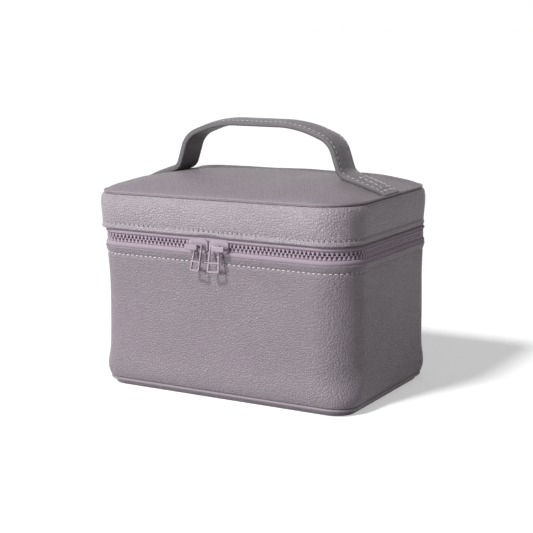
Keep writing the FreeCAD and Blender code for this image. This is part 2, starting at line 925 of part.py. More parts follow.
def make_bail(name, side):
    """Bar over the slider on two posts; the pull's wire passes under it."""
    body = new_body(f"{name}_slider_bail")
    start = size("meeting_x") + size("bail_start") * side
    middle = start + size("bail_length") / 2 * side
    bar_z = chain_z - size("post_drop") / 2
    bar = new_sketch(body, "bar", role="XZ_Plane", offset=tunnel_front, along=middle, across=bar_z)
    shape = Outline(size("bail_length"), size("bail_width"), size("bail_corner"), zero)
    draw_rounded(bar, shape, "bar")
    pad(body, bar, size("bail_thick"))
    face = -(tunnel_front + size("bail_thick")).value
    round_edges(body, size("bail_round"), lambda edge: on_face(edge, face))
    near = post_x(side)
    far = start + (size("bail_length") - size("far_post_setback")) * side
    for label, x in (("nose_post", near), ("tail_post", far)):
        post = new_sketch(body, label, role="XZ_Plane", offset=plate_front, along=x, across=post_z)
        draw_circle(post, size("post_radius"))
        pad(body, post, size("bail_tunnel") + size("bail_thick") / 2)


def make_pull(name, side):
    """Open frame with a cross-bar, hung round the post at the slider's nose.

    It is drawn upright about that post, and its Placement then hangs it on the slider.
    """
    body = new_body(f"{name}_pull")
    wire = size("pull_wire").value
    top = (size("post_radius") + size("pull_play") + size("pull_wire")).value
    foot = top - size("pull_length").value
    bar = top - wire - size("pull_window").value

    def half_width(z):
        share = (top - z) / (top - foot)
        return (size("pull_top_width").value * (1 - share) + size("pull_foot_width").value * share) / 2

    def trapezium(high, low, inset):
        wide, narrow = half_width(low) - inset, half_width(high) - inset
        return [(-wide, low), (wide, low), (narrow, high), (-narrow, high)]

    frame = new_sketch(body, "frame", role="XZ_Plane")
    draw_polygon(frame, trapezium(top, foot, 0.0))
    pad(body, frame, size("pull_thick"), symmetric=True)
    windows = (("upper_window", top - wire, bar), ("lower_window", bar - wire, foot + wire))
    for label, high, low in windows:
        window = new_sketch(body, label, role="XZ_Plane")
        draw_polygon(window, trapezium(high, low, wire))
        pocket(body, window, size("pull_thick") * 2, symmetric=True)
    at_corner = lambda edge: crosses(edge) and on_outline(edge, top, foot, half_width)
    round_edges(body, size("pull_corner"), at_corner)
    faces = (size("pull_thick").value / 2, -size("pull_thick").value / 2)
    round_edges(body, size("pull_round"), lambda edge: any(on_face(edge, y) for y in faces))
    hang(body, post_x(side), -(plate_front + size("bail_tunnel") / 2), post_z, side)


def crosses(edge):
    """True for an edge that runs straight through the thickness."""
    box = edge.BoundBox
    return box.XLength < 1e-4 and box.ZLength < 1e-4


def on_outline(edge, top, foot, half_width):
    box = edge.BoundBox
    at_end = min(abs(box.ZMin - top), abs(box.ZMin - foot)) < 1e-4
    return at_end and abs(abs(box.XMin) - half_width(box.ZMin)) < 1e-3


def hang(body, x, y, z, side):
    """Places a pull on its post, its foot tilted forwards and its inner side turned out."""
    tilt = Rotation(Vector(1, 0, 0), -size("pull_tilt").value)
    splay = Rotation(Vector(0, 0, 1), size("pull_splay").value * side)
    body.Placement = Placement(Vector(x.value, y.value, z.value), splay * tilt)
    place(body, x, y, z)


# ---- build, check and write ----


def build():
    make_body_shell()
    make_body_board()
    make_body_lining()
    make_bottom_panel()
    make_bottom_board()
    make_bottom_bead()
    make_lower_tape()
    make_lower_teeth()
    make_end_stops()
    make_hinge()
    make_lid_band()
    make_lid_frame()
    make_lid_board()
    make_lid_lining()
    make_lid_top_panel()
    make_lid_foam()
    make_top_bead()
    make_upper_tape()
    make_upper_teeth()
    make_handle()
    for name, side in (("left", -1), ("right", 1)):
        make_slider(name, side)
        make_bail(name, side)
        make_pull(name, side)
    doc.recompute()


NODES = (
    "body_shell",
    "body_board",
    "body_lining",
    "bottom_panel",
    "bottom_board",
    "bottom_bead",
    "lower_zip_tape",
    "lower_zip_teeth",
    "zip_end_stops",
    "hinge_strip",
    "hinge_lining",
    "lid_band",
    "lid_frame",
    "lid_board",
    "lid_lining",
    "lid_top_panel",
    "lid_foam",
    "lid_top_bead",
    "upper_zip_tape",
    "upper_zip_teeth",
    "handle_under_strap",
    "handle_core",
    "handle_top_strap",
    "left_slider_body",
    "left_slider_bail",
    "left_pull",
    "right_slider_body",
    "right_slider_bail",
    "right_pull",
)


def check():
    for item in doc.Objects:
        if "Invalid" in item.State or "Error" in item.State:
            raise ValueError(f"{item.Name} failed: {item.State}")
    for name in NODES:
        shape = doc.getObject(name).Shape
        if shape.isNull() or not shape.isValid() or not shape.Solids:
            raise ValueError(f"{name} is not a valid solid")


def write():
    os.makedirs("parts", exist_ok=True)
    for name in NODES:
        shape = doc.getObject(name).Shape
        shape.exportStep(f"parts/{name}.step")
        box = shape.BoundBox
        print(f"{name:20s} solids {len(shape.Solids)} volume {shape.Volume / 1000:8.2f} cm3 "
              f"x {box.XMin:7.2f} {box.XMax:7.2f} y {box.YMin:7.2f} {box.YMax:7.2f} "
              f"z {box.ZMin:7.2f} {box.ZMax:7.2f}")
    print(f"lid turns about y {hinge_y.value:.3f} z {chain_z.value:.3f}")
    for name, side in (("left", -1), ("right", 1)):
        pull = doc.getObject(f"{name}_pull").Placement
        axis = pull.Rotation.multVec(Vector(0, -side, 0))
        print(f"{name} pull turns about {pull.Base} along {axis}")


build()
check()
write()
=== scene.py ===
import math
import bpy
import bmesh
from mathutils import Matrix, Vector, noise


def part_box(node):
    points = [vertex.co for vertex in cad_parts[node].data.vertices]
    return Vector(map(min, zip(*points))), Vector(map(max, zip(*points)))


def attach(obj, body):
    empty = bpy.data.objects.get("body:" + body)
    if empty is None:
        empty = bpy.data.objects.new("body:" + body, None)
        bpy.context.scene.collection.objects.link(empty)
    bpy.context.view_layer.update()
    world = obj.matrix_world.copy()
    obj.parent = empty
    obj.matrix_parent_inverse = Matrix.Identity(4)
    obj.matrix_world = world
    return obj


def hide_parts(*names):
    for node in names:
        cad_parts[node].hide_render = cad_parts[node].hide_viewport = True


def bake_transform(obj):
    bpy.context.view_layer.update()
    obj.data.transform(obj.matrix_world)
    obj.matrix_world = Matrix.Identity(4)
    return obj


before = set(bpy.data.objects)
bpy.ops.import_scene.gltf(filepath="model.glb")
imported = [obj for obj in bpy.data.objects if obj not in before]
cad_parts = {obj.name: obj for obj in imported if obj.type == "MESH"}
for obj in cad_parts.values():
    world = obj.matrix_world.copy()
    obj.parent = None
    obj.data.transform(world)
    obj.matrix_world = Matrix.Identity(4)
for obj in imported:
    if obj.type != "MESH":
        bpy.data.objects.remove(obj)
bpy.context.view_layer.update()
mm = 0.001
scene = bpy.context.scene


# camera, lamps and floor

cameraLook = {
    "azimuth": 29.776, "elevation": 10.6626, "roll": -0.2588,
    "position": (0.477287, -0.83318, 0.263517),
    "focalPixels": 1360.1, "picturePixels": 533, "sensor": 36.0, "clip": (0.05, 50.0),
}
studio = {
    "keyTravel": (0.31, 0.92, -1.0), "keyStrength": 2.45, "keyAngle": 8.0,
    "frontLamp": {"place": (-0.38, -0.88, 0.27), "aim": (-0.02, -0.06, 0.11), "size": 0.26, "power": 4.6},
    "worldLevel": 0.165, "floorColour": (0.97, 0.97, 0.97), "floorBounce": (0.34, 0.335, 0.34),
    "floorGlow": 0.12, "floorGlowStrength": 3.5, "floorSize": 30.0,
}


def placeCamera(look):
    azimuth, elevation, roll = (math.radians(look[k]) for k in ("azimuth", "elevation", "roll"))
    flat = math.cos(elevation)
    back = Vector((math.sin(azimuth) * flat, -math.cos(azimuth) * flat, math.sin(elevation)))
    sideways = Vector((math.cos(azimuth), math.sin(azimuth), 0))
    upright = back.cross(sideways)
    right = sideways * math.cos(roll) + upright * math.sin(roll)
    up = upright * math.cos(roll) - sideways * math.sin(roll)
    camera = bpy.data.objects.new("camera", bpy.data.cameras.new("camera"))
    scene.collection.objects.link(camera)
    turn = Matrix((right, up, back)).transposed().to_4x4()
    camera.matrix_world = Matrix.Translation(look["position"]) @ turn
    camera.data.sensor_width = look["sensor"]
    camera.data.lens = look["sensor"] * look["focalPixels"] / look["picturePixels"]
    camera.data.clip_start, camera.data.clip_end = look["clip"]
    scene.camera = camera


def addLamp(name, kind, place, heading, **settings):
    lamp = bpy.data.lights.new(name, kind)
    for key, value in settings.items():
        setattr(lamp, key, value)
    holder = bpy.data.objects.new(name, lamp)
    scene.collection.objects.link(holder)
    holder.location = place
    holder.rotation_euler = Vector(heading).to_track_quat("-Z", "Y").to_euler()


# node trees: sums are written on wires, every other node comes from Tree.make

class Wire:
    def __init__(self, tree, socket):
        self.tree, self.socket = tree, socket

    def out(self, key):
        return Wire(self.tree, self.socket.node.outputs[key])

    def sums(self, operation, *values):
        return self.tree.make("ShaderNodeMath", {"operation": operation}, dict(enumerate(values)))

    def __add__(self, other): return self.sums("ADD", self, other)
    def __sub__(self, other): return self.sums("SUBTRACT", self, other)
    def __mul__(self, other): return self.sums("MULTIPLY", self, other)
    def __truediv__(self, other): return self.sums("DIVIDE", self, other)
    def __mod__(self, other): return self.sums("FLOORED_MODULO", self, other)
    def __pow__(self, other): return self.sums("POWER", self, other)
    def __abs__(self): return self.sums("ABSOLUTE", self)
    def __rsub__(self, other): return self.sums("SUBTRACT", other, self)
    __radd__ = __add__
    __rmul__ = __mul__

    def sine(self): return self.sums("SINE", self)
    def root(self): return self.sums("SQRT", self)

    def between(self, low, high):  # 0 below low, 1 above high, smooth between
        return self.tree.make("ShaderNodeMapRange", {"interpolation_type": "SMOOTHSTEP"},
                              {"Value": self, "From Min": low, "From Max": high})


class Tree:
    def __init__(self, nodeTree, finish=None):
        self.nodeTree, self.finish = nodeTree, finish

    def make(self, kind, settings=None, sockets=None, out=0):
        node = self.nodeTree.nodes.new(kind)
        for key, value in (settings or {}).items():
            if key == "stops":
                for stop, (place, colour) in zip(node.color_ramp.elements, value):
                    stop.position, stop.color = place, colour
            else:
                setattr(node, key, value)
        for key, value in (sockets or {}).items():
            if isinstance(value, Wire):
                self.nodeTree.links.new(value.socket, node.inputs[key])
            elif value is not None:
                node.inputs[key].default_value = value
        return Wire(self, node.outputs[out]) if len(node.outputs) else None

    def mix(self, share, first, second, blend="MIX"):  # colours
        settings = {"data_type": "RGBA", "blend_type": blend}
        return self.make("ShaderNodeMix", settings, {0: share, 6: first, 7: second}, out=2)

    def vectors(self, operation, *values):
        return self.make("ShaderNodeVectorMath", {"operation": operation}, dict(enumerate(values)))

    def noise(self, place, scale, detail=2.0, out=0):
        sockets = {"Vector": place, "Scale": scale, "Detail": detail, "Roughness": 0.55}
        return self.make("ShaderNodeTexNoise", {}, sockets, out=out)

    def bump(self, height, distance, under=None):
        sockets = {"Height": height, "Distance": distance, "Strength": 1.0, "Normal": under}
        return self.make("ShaderNodeBump", {}, sockets)

    def parts(self, place, out=0):
        return self.make("ShaderNodeSeparateXYZ", {}, {0: place}, out=out)

    def here(self):  # the place on the object
        return self.make("ShaderNodeTexCoord", out="Object")


def newFinish(name):
    finish = bpy.data.materials.new(name)
    finish.use_nodes = True
    finish.node_tree.nodes.clear()
    return Tree(finish.node_tree, finish)


def surface(tree, **sockets):
    named = {"baseColour": "Base Color", "roughness": "Roughness", "normal": "Normal",
             "coat": "Coat Weight", "coatRoughness": "Coat Roughness", "sheen": "Sheen Weight",
             "sheenRoughness": "Sheen Roughness", "gloss": "Specular IOR Level"}
    shader = tree.make("ShaderNodeBsdfPrincipled", {}, {named[k]: v for k, v in sockets.items()})
    tree.make("ShaderNodeOutputMaterial", {}, {"Surface": shader})
    return tree.finish


def rgba(colour, level=1.0):
    return (*(c * level for c in colour), 1.0)


# finishes

# the crease setting is how dark the painted shade in the grain's creases is
leatherLook = {
    "colour": (0.274, 0.23, 0.265), "creaseShade": 0.72, "creaseWidth": 0.2, "mottle": 0.07,
    "grainPerMetre": 620.0, "grainDepth": 0.0005, "grainDrift": 0.0011, "driftPerMetre": 420.0,
    "poresPerMetre": 5200.0, "poreDepth": 0.00003, "roughness": 0.42, "gloss": 0.5, "sheen": 0.1,
}
tapeLook = {
    "colour": (0.42, 0.335, 0.405), "ribPitch": 0.00052, "ribDepth": 0.00008,
    "zigzagHeight": 0.0012, "zigzagReach": 0.0007, "roughness": 0.82, "sheen": 0.25,
}
# painted shade: the lacquer of the sliders, bails and pulls is darker than the zip's lacquer of the same colour
lacquerLook = {"colour": (0.33, 0.265, 0.32), "roughness": 0.3, "speckDepth": 0.000012}
threadLook = {"colour": (0.78, 0.72, 0.75), "plyPitch": 0.0006, "plyDepth": 0.00004}


def leatherFinish(name, look, seam=None):
    # pebble grain in object space, with painted shade darkening the creases between the pebbles; seam = (height, pitch,
    # hole radius) marks the needle holes by the piece's own UV, as dents darkened with painted shade
    tree = newFinish(name)
    place = tree.here()
    drift = tree.noise(place, look["driftPerMetre"], 1.0, out=1)
    bent = tree.vectors("ADD", place, tree.vectors("MULTIPLY", drift, (look["grainDrift"],) * 3))
    cells = {"Vector": bent, "Scale": look["grainPerMetre"], "Randomness": 0.85}
    pebble = tree.make("ShaderNodeTexVoronoi", {"feature": "SMOOTH_F1"}, {**cells, "Smoothness": 0.25}, out="Distance")
    edge = tree.make("ShaderNodeTexVoronoi", {"feature": "DISTANCE_TO_EDGE"}, cells)
    crease = 1 - edge.between(0.02, look["creaseWidth"])
    pore = tree.noise(place, look["poresPerMetre"], 2.0)
    broad, middle = tree.noise(place, 34.0, 3.0), tree.noise(place, 210.0, 2.0)
    height = (1 - pebble) * 0.55 - crease * 0.4 + middle * 0.12
    # painted shade: the colour is darkened in the creases between the pebbles, where shade falls
    tone = tree.mix(crease * 0.55, rgba(look["colour"]), rgba(look["colour"], look["creaseShade"]))
    stops = [(0.3, rgba((1 - look["mottle"],) * 3)), (0.7, rgba((1 + look["mottle"] * 0.6,) * 3))]
    worn = tree.make("ShaderNodeValToRGB", {"stops": stops}, {0: broad * 0.6 + middle * 0.4})
    tone = tree.mix(1.0, tone, worn, "MULTIPLY")
    rough = look["roughness"] + crease * 0.14 + (pore - 0.5) * 0.12
    if seam:
        rowHeight, pitch, radius = seam
        run = tree.parts(tree.make("ShaderNodeUVMap"))
        sideways = abs(((run / pitch) % 1.0) - 0.5) * pitch
        upwards = tree.parts(place, out=2) - rowHeight
        hole = 1 - ((sideways ** 2 + upwards ** 2).root()).between(radius * 0.55, radius)
        height = height - hole * 2.2
        # painted shade: the needle holes are darkened to 0.18 of the leather's colour, for the shade inside them
        tone = tree.mix(hole * 0.85, tone, rgba(look["colour"], 0.18))
    normal = tree.bump(height, look["grainDepth"], tree.bump(pore, look["poreDepth"]))
    return surface(tree, baseColour=tone, roughness=rough, normal=normal, gloss=look["gloss"],
                   sheen=look["sheen"], sheenRoughness=0.45)


def tapeFinish(name, look):
    # woven ribs across the tape, by the piece's own UV
    tree = newFinish(name)
    run = tree.parts(tree.make("ShaderNodeUVMap"))
    across = run.out(1)
    place = tree.here()
    turns = 2 * math.pi / look["ribPitch"]
    zigzag = abs((across / look["zigzagHeight"]) % 1.0 - 0.5) * look["zigzagReach"]
    rib = ((run + zigzag) * turns).sine()
    weft = (across * (turns * 0.8)).sine()
    fuzz = tree.noise(place, 2600.0, 3.0)
    height = rib * 0.4 + weft * 0.22 + fuzz * 0.5
    shade = (rib * 0.25 + weft * 0.15 + fuzz * 0.5).between(-0.1, 0.75)
    tone = tree.mix(shade, rgba(look["colour"], 0.72), rgba(look["colour"], 1.08))
    return surface(tree, baseColour=tone, roughness=look["roughness"] - fuzz * 0.1,
                   normal=tree.bump(height, look["ribDepth"]), sheen=look["sheen"], sheenRoughness=0.5)


def lacquerFinish(name, look, coat=0.35):
    tree = newFinish(name)
    place = tree.here()
    broad, fine = tree.noise(place, 160.0), tree.noise(place, 3000.0, 3.0)
    tone = tree.mix(broad.between(0.3, 0.75), rgba(look["colour"], 0.93), rgba(look["colour"], 1.05))
    return surface(tree, baseColour=tone, roughness=look["roughness"] + broad * 0.1 + fine * 0.05,
                   coat=coat, coatRoughness=0.12, normal=tree.bump(fine, look["speckDepth"]))


def threadFinish(name, look):
    # twisted plies, by the direction along each stitch
    tree = newFinish(name)
    place = tree.here()
    spot = tree.parts(place)
    ply = ((spot + spot.out(1) + spot.out(2)) * (2 * math.pi / look["plyPitch"])).sine()
    fuzz = tree.noise(place, 4200.0)
    tone = tree.mix((ply * 0.3 + fuzz).between(0.2, 0.9), rgba(look["colour"], 0.82), rgba(look["colour"], 1.1))
    return surface(tree, baseColour=tone, roughness=0.62 + fuzz * 0.1, sheen=0.2, sheenRoughness=0.4,
                   normal=tree.bump(ply * 0.5 + fuzz, look["plyDepth"]))


def plainFinish(name, colour, grainPerMetre, depth, roughness, speck=0.12):
    # cloth, board, foam or filler: a fine even texture
    tree = newFinish(name)
    place = tree.here()
    fine, broad = tree.noise(place, grainPerMetre, 4.0), tree.noise(place, grainPerMetre / 14)
    shade = (fine * 0.7 + broad * 0.3).between(0.3, 0.7)
    tone = tree.mix(shade, rgba(colour, 1 - speck), rgba(colour, 1 + speck))
    return surface(tree, baseColour=tone, roughness=roughness - fine * 0.08, normal=tree.bump(fine, depth))


def clothFinish(name, colour, threadPitch):
    # plain weave over and under in all three directions
    tree = newFinish(name)
    place = tree.here()
    x = tree.parts(place)
    y, z, turns = x.out(1), x.out(2), 2 * math.pi / threadPitch
    weave = ((x + y) * turns).sine() * (z * turns).sine() + (x * turns).sine() * (y * turns).sine()
    fuzz = tree.noise(place, 1500.0, 3.0)
    tone = tree.mix((weave * 0.2 + fuzz).between(0.2, 0.9), rgba(colour, 0.82), rgba(colour, 1.08))
    return surface(tree, baseColour=tone, roughness=0.78 - fuzz * 0.08, sheen=0.3, sheenRoughness=0.5,
                   normal=tree.bump(weave * 0.4 + fuzz * 0.6, 0.0001))


def levels(node):
    # the heights of a node's foot and top
    return [corner[2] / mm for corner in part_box(node)]


# sizes in millimetres
foot, lip = levels("body_shell")
hem, seam = levels("lid_band")
chain = (lip + hem) / 2
seams = {"bodyRow": lip - 5.5, "lidRow": hem + 3.9, "pitch": 3.8, "bodyHole": 0.45, "lidHole": 0.6}
case = {"halfX": 100.0, "halfY": 67.0, "radius": 18.5, "centreX": 0.0, "centreY": 0.0}
lid = {"halfX": 101.2, "halfY": 68.2, "radius": 19.7, "centreX": -0.7, "centreY": -1.4}
caseMouth, lidMouth = {**case, "near": 27.0}, {**lid, "near": 28.2}  # the right front corner is the roundest


# outlines and lofts

def roundOutline(halfX, halfY, radius, centreX, centreY, gap=0.0, near=None):
    # stations (x, y, outward x, outward y) from the back's middle round by the right side; near is the radius of
    # the right front corner, gap is half of what is left open at the back
    near = near or radius
    left, right = centreX - halfX, centreX + halfX
    front, back = centreY - halfY, centreY + halfY
    stations = []

    def side(start, end, facing, count):
        for i in range(count):
            t = i / count
            stations.append((start[0] + (end[0] - start[0]) * t, start[1] + (end[1] - start[1]) * t, *facing))

    def corner(x, y, first, bend, count=18):
        for i in range(count):
            a = math.radians(first - 90 * i / count)
            stations.append((x + bend * math.cos(a), y + bend * math.sin(a), math.cos(a), math.sin(a)))

    side((gap, back), (right - radius, back), (0, 1), 40)
    corner(right - radius, back - radius, 90, radius)
    side((right, back - radius), (right, front + near), (1, 0), 46)
    corner(right - near, front + near, 0, near)
    side((right - near, front), (left + radius, front), (0, -1), 80)
    corner(left + radius, front + radius, -90, radius)
    side((left, front + radius), (left, back - radius), (-1, 0), 46)
    corner(left + radius, back - radius, -180, radius)
    side((left + radius, back), (-gap, back), (0, 1), 40)
    if gap:
        stations.append((-gap, back, 0, 1))
    return stations


def softOutline(size, look):
    # the same stations with the corners spread along the sides: for each corner its radius and its cut,
    # which is how far it lies inside the sharp one; left front, right front, left back, right back
    tight, reach, cuts = look["tight"], look["spread"], look["cuts"]
    stations = []
    for corners in zip(*(roundOutline(**{**size, "radius": radius}) for radius in tight)):
        which = (corners[0][0] > 0) + 2 * (corners[0][1] > 0)
        x, y, nx, ny = corners[which]
        radius = tight[which]
        sag = (cuts[which] - (math.sqrt(2) - 1) * radius) / (1 + radius / reach)
        if abs(nx * ny) > 1e-6:
            inset = sag * (1 + radius / reach * 2 * abs(nx * ny))
        else:
            fromMiddle = abs(x - size["centreX"]) if abs(ny) > 0.5 else abs(y - size["centreY"])
            along = size["halfX" if abs(ny) > 0.5 else "halfY"] - radius - fromMiddle
            inset = sag * max(0.0, 1 - along / reach) ** 2
        stations.append((x - nx * inset, y - ny * inset))
    made = []
    for i, (x, y) in enumerate(stations):
        before, after = stations[i - 1], stations[(i + 1) % len(stations)]
        across = Vector((before[1] - after[1], after[0] - before[0])).normalized()
        made.append((x, y, across.x, across.y))
    return made


def between(first, second, share):
    # a station part of the way from one outline to the other
    x, y, nx, ny = (a + (b - a) * share for a, b in zip(first, second))
    size = math.hypot(nx, ny)
    return x, y, nx / size, ny / size


def lengths(stations, closed=True):
    # running length along the outline, in metres
    run = [0.0]
    ends = stations[1:] + ([stations[0]] if closed else [])
    for a, b in zip(stations, ends):
        run.append(run[-1] + math.hypot(b[0] - a[0], b[1] - a[1]) * mm)
    return run


def inward(station, inset, height):
    x, y, nx, ny = station
    return Vector((x - nx * inset, y - ny * inset, height)) * mm


def towardsMiddle(station, share, height):
    # a station drawn in towards the middle line, for floors and ceilings
    return Vector((station[0] * (0.5 + 0.5 * share), station[1] * share, height)) * mm


def clamp(share):
    return min(1.0, max(0.0, share))


def ease(share):
    share = clamp(share)
    return share * share * (3 - 2 * share)


def through(values, share):
    # a smooth line through evenly spaced values
    share = clamp(share) * (len(values) - 1)
    i = min(int(share), len(values) - 2)
    t = share - i
    a, b = values[i], values[i + 1]
    before = values[i - 1] if i else 2 * a - b
    after = values[i + 2] if i + 2 < len(values) else 2 * b - a
    return a + 0.5 * t * (b - before + t * (2 * before - 5 * a + 4 * b - after + t * (3 * (a - b) + after - before)))


def bell(x, width):
    return math.exp(-(x / width) ** 2)


def makeMesh(name, points, faces, spots, sharpAngle, kinds):
    mesh = bpy.data.meshes.new(name)
    mesh.from_pydata(points, [], faces)
    if spots:
        layer = mesh.uv_layers.new(name="along")
        for polygon, corners in zip(mesh.polygons, spots):
            for loop, spot in zip(polygon.loop_indices, corners):
                layer.data[loop].uv = spot
    mesh.polygons.foreach_set("material_index", kinds)
    work = bmesh.new()
    work.from_mesh(mesh)
    bmesh.ops.remove_doubles(work, verts=work.verts, dist=1e-7)
    bmesh.ops.recalc_face_normals(work, faces=work.faces)
    work.to_mesh(mesh)
    work.free()
    mesh.polygons.foreach_set("use_smooth", [True] * len(mesh.polygons))
    mesh.set_sharp_from_angle(angle=math.radians(sharpAngle))
    return mesh


def loft(name, loops, along=None, closed=True, materials=None, sharpAngle=38):
    # skins closed loops of points set one after another along a path; along is its running length, for the UV
    width, count = len(loops[0]), len(loops)
    across = [0.0]
    for a, b in zip(loops[0], loops[0][1:] + loops[0][:1]):
        across.append(across[-1] + (b - a).length)
    points = [p for loop in loops for p in loop]
    faces, spots, kinds = [], [], []
    for i in range(count if closed else count - 1):
        j = (i + 1) % count
        for k in range(width):
            m = (k + 1) % width
            faces.append((i * width + k, i * width + m, j * width + m, j * width + k))
            kinds.append(materials[k] if materials else 0)
            if along:
                here, there, low, high = along[i], along[i + 1], across[k], across[k + 1]
                spots.append(((here, low), (here, high), (there, high), (there, low)))
    if not closed:
        for first in (0, (count - 1) * width):
            faces.append(tuple(range(first, first + width)))
            kinds.append(max(kinds))
            if along:
                spots.append(tuple((along[0], across[k]) for k in range(width)))
    return makeMesh(name, points, faces, spots, sharpAngle, kinds)


def addPiece(name, mesh, body, finishes, replaced=()):
    piece = bpy.data.objects.new(name, mesh)
    scene.collection.objects.link(piece)
    if not mesh.materials:
        for finish in finishes if isinstance(finishes, list) else [finishes]:
            mesh.materials.append(finish)
    if body:
        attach(piece, body)
    if replaced:
        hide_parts(*replaced)
    return piece


def addLoft(name, loops, along, body, finish, node):
    addPiece(name, loft(name, loops, along), body, finish, [node])


# rows of stitches and teeth

def rowTree():
    # sets a pattern along a path at even steps: local X runs along the path, local Z stands out from the surface
    group = bpy.data.node_groups.new("evenRow", "GeometryNodeTree")
    for name, kind in (("Path", "Geometry"), ("Pattern", "Object"), ("Count", "Int"), ("Turn", "Float"),
                       ("Unevenness", "Float"), ("Seed", "Int"), ("Finish", "Material")):
        group.interface.new_socket(name=name, in_out="INPUT", socket_type="NodeSocket" + kind)
    group.interface.new_socket(name="Row", in_out="OUTPUT", socket_type="NodeSocketGeometry")
    make = Tree(group).make
    given = make("NodeGroupInput")
    curve = make("GeometryNodeMeshToCurve", {}, {"Mesh": given.out("Path")})
    points = make("GeometryNodeResampleCurve", {"mode": "COUNT"}, {"Curve": curve, "Count": given.out("Count")})
    tangent = make("GeometryNodeInputTangent")
    outward = make("GeometryNodeInputNamedAttribute", {"data_type": "FLOAT_VECTOR"}, {"Name": "outward"})
    facing = make("FunctionNodeAlignRotationToVector", {"axis": "X"}, {"Vector": tangent})
    facing = make("FunctionNodeAlignRotationToVector", {"axis": "Z", "pivot_axis": "X"},
        {"Rotation": facing, "Vector": outward})
    chance = make("FunctionNodeRandomValue", {"data_type": "FLOAT"},
        {"Min": -1.0, "Max": 1.0, "Seed": given.out("Seed")}, out=1)
    swing = given.out("Turn") + chance * given.out("Unevenness")
    spin = make("ShaderNodeCombineXYZ", {}, {"Z": swing})
    turned = make("FunctionNodeEulerToRotation", {}, {"Euler": spin})
    facing = make("FunctionNodeRotateRotation", {"rotation_space": "LOCAL"},
        {"Rotation": facing, "Rotate By": turned})
    length = 1 + chance * given.out("Unevenness") * 0.7
    size = make("ShaderNodeCombineXYZ", {}, {"X": length, "Y": 1.0, "Z": 1.0})
    source = make("GeometryNodeObjectInfo", {}, {"Object": given.out("Pattern"), "As Instance": True}, out="Geometry")
    placed = make("GeometryNodeInstanceOnPoints", {},
        {"Points": points, "Instance": source, "Rotation": facing, "Scale": size})
    solid = make("GeometryNodeRealizeInstances", {}, {"Geometry": placed})
    made = make("GeometryNodeSetMaterial", {}, {"Geometry": solid, "Material": given.out("Finish")})
    make("NodeGroupOutput", {}, {"Row": made})
    return group


def pathObject(name, points, outwards, closed):
    mesh = bpy.data.meshes.new(name)
    count = len(points)
    mesh.from_pydata(points, [(i, (i + 1) % count) for i in range(count if closed else count - 1)], [])
    attribute = mesh.attributes.new("outward", "FLOAT_VECTOR", "POINT")
    attribute.data.foreach_set("vector", [c for v in outwards for c in v])
    path = bpy.data.objects.new(name, mesh)
    scene.collection.objects.link(path)
    return path


def makeRow(name, points, stations, closed, look, pattern, body, finish, replaced=()):
    # the finished row as one plain mesh; it stands out from the path as the stations or directions say
    outwards = [(s[2], s[3], 0) if len(s) == 4 else s for s in stations]
    path = pathObject(name + "Path", points, outwards, closed)
    row = path.modifiers.new("row", "NODES")
    row.node_group = evenRow
    values = {"Pattern": pattern, "Count": look["count"], "Turn": math.radians(look["turn"]), "Finish": finish,
              "Unevenness": look.get("unevenness", 0.05), "Seed": look.get("seed", 7)}
    for item in evenRow.interface.items_tree:
        if item.name in values:
            row[item.identifier] = values[item.name]
    bpy.context.view_layer.update()
    mesh = bpy.data.meshes.new_from_object(path.evaluated_get(bpy.context.evaluated_depsgraph_get()))
    mesh.name = name
    bpy.data.objects.remove(path)
    addPiece(name, mesh, body, finish, replaced)


def patternObject(name, loops):
    mesh = loft(name, [[Vector(p) * mm for p in loop] for loop in loops], closed=False, sharpAngle=50)
    pattern = bpy.data.objects.new(name, mesh)
    scene.collection.objects.link(pattern)
    return pattern


def stitchPattern(look):
    # one thread between two holes: a low arch that thins at both ends; rings are (along, rise, swell)
    half, turns = look["threadWidth"] / 2, [2 * math.pi * k / 6 for k in range(6)]
    return patternObject("stitchPattern", [
        [(along * look["length"], half * swell * math.cos(a), half * (rise + swell * math.sin(a) * 0.8)) for a in turns]
        for along, rise, swell in look["rings"]])


def toothPattern(look):
    # one moulded tooth: broad foot, narrow neck and a head that fills the space between its neighbours' heads
    half = look["toothHalf"]
    tip, bevel, depth = half[-1][0], look["toothBevel"], look["depth"] / 2
    outline = [(w, y) for y, w in half] + [(-w, y) for y, w in reversed(half)]
    loops = []
    for z, size in ((-depth, 0.72), (-depth + 2 * bevel, 1.0), (depth - 2 * bevel, 1.0), (depth, 0.72)):
        drawn = bevel if size < 1 else 0.0
        loops.append([(x * size, y + drawn if y == 0 else y - drawn if y == tip else y, z) for x, y in outline])
    return patternObject("toothPattern", loops)


stitchLook = {
    "length": 2.7, "threadWidth": 0.62,
    "rings": ((-0.5, -0.8, 0.6), (-0.4, 0.1, 0.9), (-0.18, 0.5, 1.0),
              (0.18, 0.5, 1.0), (0.4, 0.1, 0.9), (0.5, -0.8, 0.6)),
}
evenRow = rowTree()
bodyRun, lidRun = (lengths(roundOutline(**size))[-1] for size in (caseMouth, lidMouth))
bodyStitches, lidStitches = (round(run / mm / seams["pitch"]) for run in (bodyRun, lidRun))
bodyHoles = (seams["bodyRow"] * mm, bodyRun / bodyStitches, seams["bodyHole"] * mm)
lidHoles = (seams["lidRow"] * mm, lidRun / lidStitches, seams["lidHole"] * mm)
